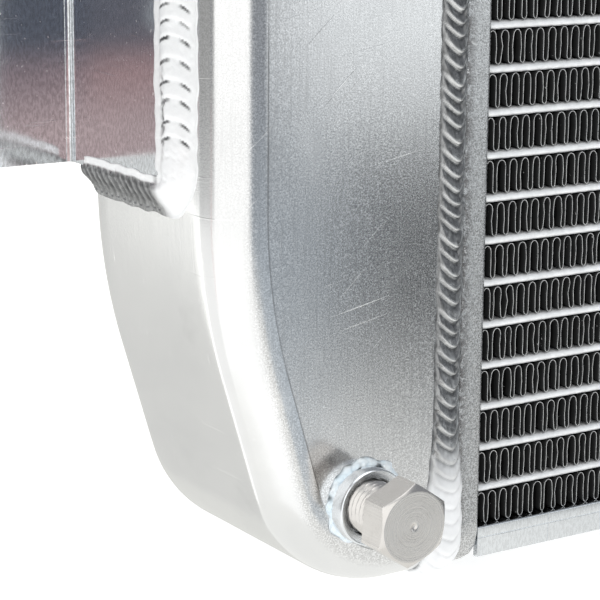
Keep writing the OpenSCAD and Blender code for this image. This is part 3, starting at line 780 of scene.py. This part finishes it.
def seam_weld(name, right, material):
    """The rippled bead all round a tank seam, smooth, full and bright at its lower end."""
    points, outs, travel = ring_path(HALF_D, HALF_H, EDGE_R, 0.32)
    path = xyz(-SEAM_X, *points.T)
    out = xyz(0, *outs.T)
    across = np.tile([1.0, 0, 0], (len(points), 1))
    low_end = 1 - smooth_step(travel, HALF_D + 14, HALF_D + 34)
    mesh = bead_mesh(name, path, across, out, travel, SEAM_BEAD_HALF_W * (1 + 0.4 * low_end),
                     lambda t: BEAD_CROWN * (1 - np.abs(t) ** 2.4) ** 0.7,
                     3.5, 3.9, 1.05, 11 + right, 0.75 * low_end, 0.08 + 0.92 * low_end, apex=0.3)
    add_bead(name, mesh, right, material)


# ---------------------------------------------------------------- core


def obround(width, thick):
    """Outline of a flat tube's end, with its round ends."""
    a = np.linspace(-math.pi / 2, math.pi / 2, 8)
    half, r = (width - thick) / 2, thick / 2
    right = np.stack([half + r * np.cos(a), r * np.sin(a)], 1)
    return np.concatenate([right, -right])


def tube_bank(name, material):
    """All the flat tubes of one bank, each very slightly uneven."""
    low, high = node_box(name)
    outline = obround(high[1] - low[1], TUBE_T)
    x = np.linspace(low[0], high[0], 61)
    verts, faces, start = [], [], 0
    count = len(outline)
    for row in range(TUBE_ROWS):
        z = -TUBE_TOP_Z + row * TUBE_PITCH
        sway = 0.06 * waves(np.column_stack([x, np.full(len(x), row * 37.0)]), 21, 60)
        verts.append(xyz(x[:, None], (low[1] + high[1]) / 2 + outline[:, 0],
                         z + outline[:, 1] + sway[:, None]))
        faces.append(grid_faces(len(x), count, False, True, start))
        start += len(x) * count
    mesh = mesh_from(name, np.concatenate(verts), [np.concatenate(faces)])
    add_piece(name + "_bank", mesh, material, stands_for=name, tidy=False)


FIN_LOOPS = 142
FIN_SETS = 5     # the rows are shared out over this many pieces
FIN_FOIL = 0.14
fin_low, fin_high = node_box("fin_strips")
FIN_FRONT_Y, FIN_REAR_Y = fin_low[1], fin_high[1]
FIN_H = TUBE_PITCH - TUBE_T


def fin_line(rng):
    """Centre line of one corrugated fin in X and Z: tall round-topped loops, each a
    little different, joined at the bottom by narrower bends."""
    pitch = (fin_high[0] - fin_low[0]) / FIN_LOOPS
    i = np.arange(FIN_LOOPS)
    left = fin_low[0] + (i + 0.19) * pitch + rng.normal(0, 0.10, FIN_LOOPS)
    right = fin_low[0] + (i + 0.81) * pitch + rng.normal(0, 0.10, FIN_LOOPS)
    next_left = np.append(left[1:], fin_high[0] - 0.1)
    top, bottom = FIN_H / 2 - 0.1, -FIN_H / 2 + 0.1
    top_r, bottom_r = 1.5, 1.0
    bow_l, bow_r = rng.normal(0, 0.15, FIN_LOOPS), rng.normal(0, 0.15, FIN_LOOPS)

    def bend(a, b, z, radius, degrees):
        return [((a + b) / 2 + (b - a) / 2 * math.cos(turn), z + radius * math.sin(turn))
                for turn in np.radians(degrees)]

    columns = [(left, bottom + bottom_r), (left + bow_l, 0.2), (left, top - top_r),
               *bend(left, right, top - top_r, top_r, [148, 118, 90, 62, 32]),
               (right, top - top_r), (right + bow_r, -0.2), (right, bottom + bottom_r),
               *bend(right, next_left, bottom + bottom_r, bottom_r, [215, 270, 325])]
    return np.stack([np.stack([np.broadcast_to(point[axis], FIN_LOOPS) for point in columns],
                              1).ravel() for axis in (0, 1)], 1)


def fins(materials):
    """The corrugated fins, as foil of real thickness, in a few sets of rows. materials are
    those of the foil's cut edges and of its walls."""
    for k, members in enumerate(np.array_split(np.arange(TUBE_ROWS + 1), FIN_SETS)):
        verts, faces, start = [], [], 0
        for row in members:
            line = fin_line(np.random.default_rng(500 + row))
            slope = np.gradient(line, axis=0)
            normal = np.stack([-slope[:, 1], slope[:, 0]], 1)
            normal /= np.linalg.norm(normal, axis=1)[:, None]
            z = -TUBE_TOP_Z + (row - 0.5) * TUBE_PITCH
            count = len(line)
            for side in (-1, 1):
                xz = line + normal * side * FIN_FOIL / 2
                for y in (FIN_FRONT_Y, FIN_REAR_Y):
                    verts.append(xyz(xz[:, 0], y, xz[:, 1] + z))
            i = start + np.arange(count - 1)
            a_front, a_rear, b_front, b_rear = (i + corner * count for corner in range(4))
            cut_edges = [(a_front, a_front + 1, b_front + 1, b_front),
                         (b_rear, b_rear + 1, a_rear + 1, a_rear)]
            walls = [(a_front, a_rear, a_rear + 1, a_front + 1),
                     (b_front, b_front + 1, b_rear + 1, b_rear)]
            faces += [np.stack(quad, 1) for quad in cut_edges + walls]
            start += 4 * count
        mesh = mesh_from(f"fins_{k}", np.concatenate(verts), faces)
        add_piece(f"corrugated_fins_{k}", mesh, materials, sharp=0, tidy=False,
                  stands_for="fin_strips" if k == 0 else None)
        per_row = np.repeat([0, 0, 1, 1], count - 1)
        mesh.polygons.foreach_set("material_index", np.tile(per_row, len(members)))


def side_plate(name, material):
    """A channel section with slightly rounded edges and a faint rolled line on its face."""
    low, high = node_box(name)
    upward = low[2] > 0
    t = 1.5
    depth, height = high[1] - low[1], high[2] - low[2]
    section = [(0, 0), (depth, 0), (depth, height), (depth - t, height), (depth - t, t),
               (t, t), (t, height), (0, height), (0, 2.8), (0.05, 2.6), (0, 2.4)]
    outline = rounded(section, 0.45)
    x = np.linspace(low[0], high[0], 81)
    sway = 0.04 * waves(x[:, None] * np.array([1.0, 0.3]), 31, 90)[:, None]
    z = low[2] + outline[:, 1] if upward else high[2] - outline[:, 1]
    mesh = mesh_from(name, xyz(x[:, None], low[1] + outline[:, 0] + 0.04, z + sway),
                     tube_faces(len(x), len(outline)))
    add_piece(name + "_channel", mesh, material, stands_for=name, flats=True)


# ---------------------------------------------------------------- brackets


def eased_copy(name, material, body="root", ease=0.4):
    """A CAD node's own shape with its sharp edges eased."""
    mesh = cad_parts[name].data.copy()
    if "custom_normal" in mesh.attributes:
        mesh.attributes.remove(mesh.attributes["custom_normal"])
    bm = bmesh.new()
    bm.from_mesh(mesh)
    bmesh.ops.remove_doubles(bm, verts=bm.verts, dist=0.001 * MM)
    bmesh.ops.dissolve_limit(bm, angle_limit=math.radians(1), verts=bm.verts, edges=bm.edges)
    edges = [e for e in bm.edges
             if len(e.link_faces) == 2 and e.calc_face_angle(0) > math.radians(40)]
    bmesh.ops.bevel(bm, geom=edges, offset=ease * MM, segments=2, profile=0.5,
                    affect="EDGES", clamp_overlap=True)
    bm.to_mesh(mesh)
    bm.free()
    add_piece(name + "_eased", mesh, material, body, name, sharp=32, flats=True)


def bracket_section(t):
    """Height of a bracket's bead across it: high on the leg (t = -1), low on the tank (1),
    and crowned between them."""
    down = smooth_step(t, -0.5, 0.82)
    crown = np.clip(1 - ((t - 0.12) / 0.72) ** 2, 0, 1) ** 0.8
    return 3.22 * (1 - down) + 0.2 * down + 0.85 * crown


def bracket_live(t):
    """Ripples on the crown of a bracket's bead only."""
    return np.clip(1 - ((t - 0.12) / 0.68) ** 2, 0, 1) ** 0.5


def bracket_weld(name, right, material):
    """A fillet bead along a bracket's front edge, wrapping round its top and bottom, where
    it turns from smooth to rippled and from bright to grey."""
    low, high = node_box(name)
    width_side, width_end, turn_r, step = 13.6, 9.8, 6.0, 0.32
    y_mid = low[1] + 6.1
    half = high[2] - 4.4
    rear = REAR_Y - 2.5
    turn = np.linspace(0, math.pi / 2, 30, endpoint=False)
    bend_y = y_mid + turn_r
    lower = np.stack([bend_y - turn_r * np.sin(turn), -half + turn_r - turn_r * np.cos(turn)], 1)
    upper = np.stack([bend_y - turn_r * np.cos(turn), half - turn_r + turn_r * np.sin(turn)], 1)
    flat = np.concatenate([straight((rear, -half), (bend_y, -half), step), lower,
                           straight((y_mid, -half + turn_r), (y_mid, half - turn_r), step), upper,
                           straight((bend_y, half), (rear, half), step), [(rear, half)]])
    over = np.clip(flat[:, 0] - (REAR_Y - EDGE_R), 0, None)
    drop = EDGE_R - np.sqrt(EDGE_R ** 2 - over ** 2)
    path = xyz(drop * 0.6 - OUTER_X, *flat.T)
    tangent = np.gradient(flat, axis=0)
    tangent /= np.linalg.norm(tangent, axis=1)[:, None]
    across = xyz(0, -tangent[:, 1], tangent[:, 0])
    out = np.tile([-1.0, 0, 0], (len(flat), 1))
    gaps = np.linalg.norm(np.diff(flat, axis=0), axis=1)
    z_off = np.abs(flat[:, 1])
    on_end = smooth_step(z_off, half - 6, half - 1) * smooth_step(flat[:, 0], y_mid + 4, y_mid + 9)
    travel = np.concatenate([[0], np.cumsum(gaps * (1 + 0.55 * on_end[1:]))])
    along = smooth_step(z_off, half - turn_r - 2, half)
    half_w = (width_side * (1 - along) + width_end * along) / 2
    half_w *= 1 - 0.35 * smooth_step(over, 0, 7)
    calm = smooth_step(z_off, half - 14, half - 8)
    calm *= 1 - smooth_step(flat[:, 0], y_mid + 5, y_mid + 11)
    scorch = np.exp(-((flat[:, 1] + half - 19) / 7.0) ** 2) * (flat[:, 0] < y_mid + 1)
    mesh = bead_mesh(name, path, across, out, travel, half_w, bracket_section, 4.1, -4.2,
                     0.34 + 0.95 * on_end, 41 + right, calm, 0.95 - 0.75 * on_end, False, 41,
                     bracket_live, scorch, ends_dark=1 - on_end, bow_power=2.0, fringe=on_end)
    add_bead(name, mesh, right, material)


# ---------------------------------------------------------------- necks, bung and plug


def ring_weld(name, inner_r, width, crown, centre, facing, material, seed, pitch=3.2,
              depth=0.5, calm=0.0, clean=0.6, **bead):
    """A rippled fillet bead round a tube that stands on a flat sheet."""
    mid = inner_r + width / 2
    whole = 2 * math.pi * mid
    count = int(whole / 0.3)
    a = np.linspace(0, 2 * math.pi, count, endpoint=False)
    radial = xyz(np.cos(a), np.sin(a), 0)
    zero = np.zeros(3)
    path = place_lathe(radial * mid, centre, facing)
    across = place_lathe(radial, zero, facing)
    out = place_lathe(np.tile([0, 0, 1.0], (count, 1)), zero, facing)
    mesh = bead_mesh(name, path, across, out, a * mid, width / 2 * 1.02,
                     lambda t: crown * np.clip((1 - t) / 2, 0, 1) ** 0.75 + 0.05,
                     whole / round(whole / pitch), 1.4, depth, seed, calm, clean, **bead)
    add_bead(name, mesh, False, material)


def hose_neck(name, material):
    """A straight neck with a rolled bead and an eased mouth."""
    low, high = node_box(name)
    centre, lip_r = on_front(name)
    lip, wall, length, back = 1.3, 2.0, FRONT_Y - low[1], high[1] - FRONT_Y
    r = lip_r - lip
    swell = [(r + lip * math.sin(a), length - 5 - 2.2 * math.cos(a))
             for a in np.linspace(0, math.pi, 9)]
    outside = [(r, -back), *swell, (r, length - 0.7), (r - 0.5, length)]
    inside = [(r - wall + 0.4, length), (r - wall, length - 0.6), (r - wall, -back)]
    mesh = mesh_from(name, *lathe(outside + inside, centre, "front", 144))
    add_piece(name + "_tube", mesh, material, stands_for=name)


plug_low, plug_high = node_box("drain_plug")
bung_low, bung_high = node_box("drain_bung")
DRAIN, BUNG_R = on_front("drain_bung")
BUNG_WELD_AT = (DRAIN[0] + 0.5, FRONT_Y - FACE_BULGE, DRAIN[2] + 0.3)
THREAD_R = 6.35
THREAD_PITCH = 1.5
HEX_FLATS = 17.0
HEX_H = 8.0
HEX_TURN = math.radians(25)
HEX_FRONT = FRONT_Y - plug_low[1]
HEX_BACK = HEX_FRONT - HEX_H


def bung(material):
    """The turned boss: eased rim, flat face, and a countersunk mouth."""
    back, p = bung_high[1] - FRONT_Y, FRONT_Y - bung_low[1]
    bore = THREAD_R + 0.5
    profile = [(bore, -back), (BUNG_R, -back), (BUNG_R, p - 0.6), (BUNG_R - 0.1, p - 0.2),
               (BUNG_R - 0.3, p), (8.35, p), (8.2, p - 0.06), (bore + 0.12, p - 0.55),
               (bore, p - 0.75)]
    add_piece("drain_bung_boss", mesh_from("bung", *lathe(profile, DRAIN, "front")), material,
              stands_for="drain_bung")


def hex_radius(a):
    """Distance from the axis to the hex outline at angle a."""
    sector = math.pi / 3
    return HEX_FLATS / 2 / np.cos(np.mod(a - HEX_TURN + 1e-9, sector) - sector / 2)


def drain_plug(material):
    """Hex head with a chamfered, turned face, a relief groove and a cut thread, as rings of
    (radius, distance in front of the tank)."""
    steps, threads = 180, 150
    a = HEX_TURN + np.linspace(0, 2 * math.pi, steps, endpoint=False)
    edge = hex_radius(a)
    face_r = HEX_FLATS / 2 - 0.35
    chamfer = HEX_FRONT - (edge - face_r) * math.tan(math.radians(30))
    relief_r = THREAD_R - 0.9
    rings = [(0.02, HEX_FRONT - 0.45), (0.35, HEX_FRONT - 0.4), (0.8, HEX_FRONT - 0.05)]
    rings += [(r, HEX_FRONT) for r in (1.0, *np.linspace(1.4, face_r, 14))]
    rings += [(edge - 0.12, chamfer + 0.02), (edge, chamfer - 0.14), (edge, HEX_BACK + 0.35),
              (edge - 0.3, HEX_BACK), (THREAD_R + 0.2, HEX_BACK), (relief_r, HEX_BACK - 0.2),
              (relief_r, HEX_BACK - 1.6)]
    head = len(rings)
    tail = plug_high[1] - FRONT_Y
    turns = np.linspace(HEX_BACK - 1.9, -tail + 1.0, threads)[:, None]
    ridge = np.abs(np.mod(turns / THREAD_PITCH - a / (2 * math.pi), 1) - 0.5) * 2
    rings += zip(THREAD_R - 0.85 * (1 - ridge) ** 1.1, turns)
    rings += [(THREAD_R - 1.6, -tail), (0.02, -tail)]
    verts = np.concatenate([xyz(r * np.cos(a), r * np.sin(a), h) for r, h in rings])
    mesh = mesh_from("plug", place_lathe(verts, DRAIN, "front"),
                     [grid_faces(len(rings), steps, False, True)])
    # Painted shade in the thread's roots, for the material to read.
    groove = np.zeros((len(rings), steps))
    groove[head:head + threads] = 0.8 * np.clip(1.0 - 2.6 * ridge, 0, 1)
    paint(mesh, "groove", groove)
    add_piece("drain_plug_hex", mesh, material, "drain_plug", "drain_plug", sharp=28)


# ---------------------------------------------------------------- build everything

stem_low, stem_high = node_box("filler_neck")
FILLER = ((stem_low[0] + stem_high[0]) / 2, MID_Y, HALF_H)

sheet = tank_sheet()
bright = bright_sheet("bright_sheet", 0.62)
rail_sheet = bright_sheet("rail_sheet", 0.3)
weld = weld_metal("weld_metal", grey(0.90, -0.012))
hazed_weld = weld_metal("hazed_weld", (0.74, 0.86, 0.94, 1))
tube_mat = tube_metal()
boss = turned_metal("turned_boss", 0.90, -0.03, DRAIN, "front", 0.0003, 0.24)
plug_mat = turned_metal("plug_nickel", 0.67, 0.030, DRAIN, "front", 0.00042, 0.24)
neck_mat = turned_metal("filler_turned", 0.80, 0.0, FILLER, "up", 0.0006, 0.22)
cap_mat = spun_metal("cap_steel", 0.78, 0.0, 0.16)
wire_mat = spun_metal("spring_steel", 0.45, 0.0, 0.30)
brass_mat = spun_metal("valve_brass", 0.72, 0.22, 0.26)
rubber_mat = rubber()


def neck_hole(name):
    """Centre and radius of the hole behind a hose neck, under the neck's wall."""
    centre, radius = on_front(name)
    return centre, radius - 2.5


tank("left_tank", False, neck_hole("inlet_neck"), sheet)
tank("right_tank", True, neck_hole("outlet_neck"), sheet)
etched = header_sheet()
header("left_header", False, etched)
header("right_header", True, etched)
seam_weld("left_tank_weld", False, weld)
seam_weld("right_tank_weld", True, weld)
tube_bank("front_tubes", tube_mat)
tube_bank("rear_tubes", tube_mat)
fins([fin_edge(), fin_wall()])
side_plate("top_side_plate", rail_sheet)
side_plate("bottom_side_plate", rail_sheet)
eased_copy("left_bracket", bright)
eased_copy("right_bracket", bright)
bracket_weld("left_bracket_weld", False, weld)
bracket_weld("right_bracket_weld", True, weld)
hose_neck("inlet_neck", sheet)
hose_neck("outlet_neck", sheet)
for part, seed in (("inlet_neck", 61), ("outlet_neck", 62)):
    neck_at, hole_r = neck_hole(part)
    ring_weld(part + "_weld", hole_r + 1.2, 4.0, 2.0, neck_at, "front", weld, seed)
bung(boss)
ring_weld("drain_bung_weld", BUNG_R - 0.4, 1.7, 1.6, BUNG_WELD_AT, "front", hazed_weld, 63, 2.4,
          0.25, 0.85, 1.0, uneven=0.5, lumpy=0.7, wander=4.0)
drain_plug(plug_mat)
eased_copy("filler_neck", neck_mat, ease=0.35)
ring_weld("filler_neck_weld", 19.0, 3.5, 2.0, FILLER, "up", weld, 64)
eased_copy("overflow_nipple", neck_mat, ease=0.3)
for part, mat, slot, body in (
        ("cap_shell", cap_mat, "cap_steel", "cap"),
        ("cap_gasket", rubber_mat, "rubber", "cap"),
        ("cap_spring_disc", cap_mat, "cap_steel", "cap"),
        ("cap_rivet", cap_mat, "cap_steel", "cap"),
        ("cap_spring_guide", cap_mat, "cap_steel", "cap"),
        ("pressure_valve_plate", brass_mat, "valve_brass", "pressure_valve"),
        ("pressure_valve_gasket", rubber_mat, "rubber", "pressure_valve"),
        ("vacuum_valve", brass_mat, "valve_brass", "vacuum_valve")):
    eased_copy(part, mat, body, ease=0.15)
for part in ("cap_spring", "vacuum_spring"):
    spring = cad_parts[part]
    spring.data.materials.clear()
    spring.data.materials.append(wire_mat)

# ---------------------------------------------------------------- camera

LENS = 128.9
YAW, PITCH, ROLL = math.radians(32.872), math.radians(12.921), math.radians(0.454)
CAMERA_AT = (-0.54536, -0.45111, -0.05200)


def add_camera():
    """The photograph's own viewpoint."""
    ahead = Vector((math.sin(YAW) * math.cos(PITCH), math.cos(YAW) * math.cos(PITCH),
                    -math.sin(PITCH)))
    level = Vector((math.cos(YAW), -math.sin(YAW), 0))
    up = level.cross(ahead)
    right = math.cos(ROLL) * level + math.sin(ROLL) * up
    top = -math.sin(ROLL) * level + math.cos(ROLL) * up
    data = bpy.data.cameras.new("camera")
    data.lens, data.sensor_width = LENS, 36
    data.clip_start, data.clip_end = 0.01, 50
    camera = bpy.data.objects.new("camera", data)
    camera.matrix_world = Matrix((
        (right.x, top.x, -ahead.x, CAMERA_AT[0]),
        (right.y, top.y, -ahead.y, CAMERA_AT[1]),
        (right.z, top.z, -ahead.z, CAMERA_AT[2]),
        (0, 0, 0, 1)))
    bpy.context.scene.collection.objects.link(camera)
    bpy.context.scene.camera = camera


# ---------------------------------------------------------------- floor and light

FLOOR_Z = -231.5  # 1 mm under the object's lowest point
AHEAD_PALE = (0.93, 0.96, 0.97)
WINDOW_WHITE = (1.0, 1.0, 0.985)

# Soft-edged panels of the studio, seen by the bare metal. Each has its span of azimuth
# (0 in front of the object, 90 at its left), its span of elevation, the softness of its
# edges, all in degrees, and its colour and brightness.
STUDIO = (
    ("ahead_low", (-80, 0), (-15.0, -9.3), 2.2, (0.85, 0.95, 1.05), 0.53),
    ("ahead_low_right", (-80, -33.4), (-15.4, -8.2), 1.5, (0.90, 0.96, 1.04), 0.03),
    ("ahead_stripe", (-31, -11), (-30, -13.5), 1.5, (0.88, 0.96, 1.03), 0.66),
    ("ahead_far", (-80, -29.5), (-7.7, 9), 1.8, AHEAD_PALE, 1.35),
    ("front_high", (-24, 1), (22, 60), 5, WINDOW_WHITE, 1.0),
    ("left_table", (0, 95), (-40, -9.5), 2.0, WINDOW_WHITE, 1.25),
    ("left_near", (95, 143), (-40, -9.5), 3.0, WINDOW_WHITE, 1.05),
    ("left_wall", (80, 143), (-9.5, 40), 3.0, WINDOW_WHITE, 0.38),
    ("left_window", (1, 80), (-9.5, 48), 2.0, WINDOW_WHITE, 1.35),
    ("back_left", (143, 181), (-40, -9.3), 2.0, (1.0, 1.0, 0.97), 1.6),
    ("back_far_left", (150.5, 181), (-40, -9.3), 1.6, (1.0, 1.0, 0.97), 0.74),
    ("back_right", (-181, -149), (-40, -8.5), 3, (1.0, 1.0, 0.96), 0.80),
    ("back_high_left", (120, 181), (12, 60), 6, (1.0, 0.99, 0.94), 0.85),
    ("back_high_right", (-181, -120), (12, 60), 6, (1.0, 0.99, 0.94), 0.85),
    ("right_window", (-125, -92), (-10, 45), 6, WINDOW_WHITE, 1.3),
)


def world_light():
    """A white table, a grey room, and soft panels round the object."""
    world = bpy.data.worlds.new("studio")
    bpy.context.scene.world = world
    n = Nodes(world, "Background")

    def step(value, at, soft, fall=0.0):
        return n.spread(value, at - soft, at + soft, fall, 1.0 - fall, "SMOOTHSTEP")

    ray = n.add("SeparateXYZ", Vector=n.coords["Generated"]).outputs
    to_degrees = 180 / math.pi
    azimuth = n.math("ARCTAN2", n.times(ray[0], -1.0), n.times(ray[1], -1.0))
    azimuth = n.times(azimuth, to_degrees)
    height = n.times(n.math("ARCSINE", ray[2]), to_degrees)
    room = n.mix(step(height, -15.4, 2.2), (1.02, 1.02, 0.99, 1), (0.30, 0.315, 0.34, 1))
    room = n.mix(step(height, 62.0, 12.0), room, (1.9, 1.9, 1.9, 1))
    for _, across, up, soft, tint, power in STUDIO:
        mask = step(azimuth, across[0], soft)
        for value, at, fall in ((azimuth, across[1], 1.0), (height, up[0], 0.0),
                                (height, up[1], 1.0)):
            mask = n.times(mask, step(value, at, soft, fall))
        room = n.mix(mask, room, tuple(c * power for c in tint) + (1.0,))
    n.set(Color=room)


def stage_object(name, mesh, material, hidden_from):
    """Adds a stage mesh that the named kinds of ray don't see."""
    mesh.materials.append(material)
    made = bpy.data.objects.new(name, mesh)
    bpy.context.scene.collection.objects.link(made)
    for rays in hidden_from:
        setattr(made, "visible_" + rays, False)


def card(name, corners):
    """One flat rectangle, from its corners in millimetres."""
    return mesh_from(name, corners, [[[0, 1, 2, 3]]])


def glow(n, colour, strength, **inputs):
    """Turns a material into a dull one that gives off light."""
    return n.set(Specular_IOR_Level=0.0, Emission_Color=colour, Emission_Strength=strength,
                 **inputs)


def pale(name, strength):
    return glow(new_material(name), (1, 1, 1, 1), strength, Base_Color=(0.86, 0.86, 0.86, 1),
                Roughness=0.9)


def add_stage():
    """A pale floor and backdrop. Bare metal looks past them at the studio's panels."""
    edge = 9000
    floor = card("floor", [(-edge, -edge, FLOOR_Z), (edge, -edge, FLOOR_Z),
                           (edge, edge, FLOOR_Z), (-edge, edge, FLOOR_Z)])
    stage_object("floor", floor, pale("pale_floor", 0.62), ["glossy"])
    backdrop = bpy.data.meshes.new("backdrop")
    bm = bmesh.new()
    bmesh.ops.create_icosphere(bm, subdivisions=4, radius=9.5)
    bm.to_mesh(backdrop)
    bm.free()
    stage_object("backdrop", backdrop, pale("pale_backdrop", 1.0),
                 ["glossy", "diffuse", "shadow", "transmission"])


def flag_light():
    """Bluish grey above, rusty in the middle and pale below, in soft steps, and darker on
    the half nearer the core."""
    n = new_material("flag")
    z = n.axis(2)
    above = n.spread(z, -0.120, -0.112)
    outer = n.mix(above, (0.45, 0.285, 0.28, 1), (0.143, 0.141, 0.165, 1))
    inner = n.mix(above, (0.30, 0.222, 0.235, 1), (0.11, 0.118, 0.145, 1))
    upper = n.mix(n.spread(n.axis(0), -0.357, -0.353), outer, inner)
    colour = n.mix(n.spread(z, -0.136, -0.121), (0.545, 0.41, 0.40, 1), upper)
    return glow(n, colour, 1.36, Base_Color=(0, 0, 0, 1), Roughness=1.0)


def add_flag():
    """A card beside the left bracket, there only to be mirrored in it."""
    inner_x, outer_x, y, low, high = -326, -398, -60.5, -165, 140
    flag = card("flag", [(inner_x, y, low), (outer_x, y, low), (outer_x, y, high),
                         (inner_x, y, high)])
    stage_object("flag", flag, flag_light(), ["camera", "diffuse", "shadow", "transmission"])


add_camera()
add_stage()
add_flag()
world_light()
view = bpy.context.scene.view_settings
view.view_transform = "Standard"
view.look = "None"
view.exposure = 0.0
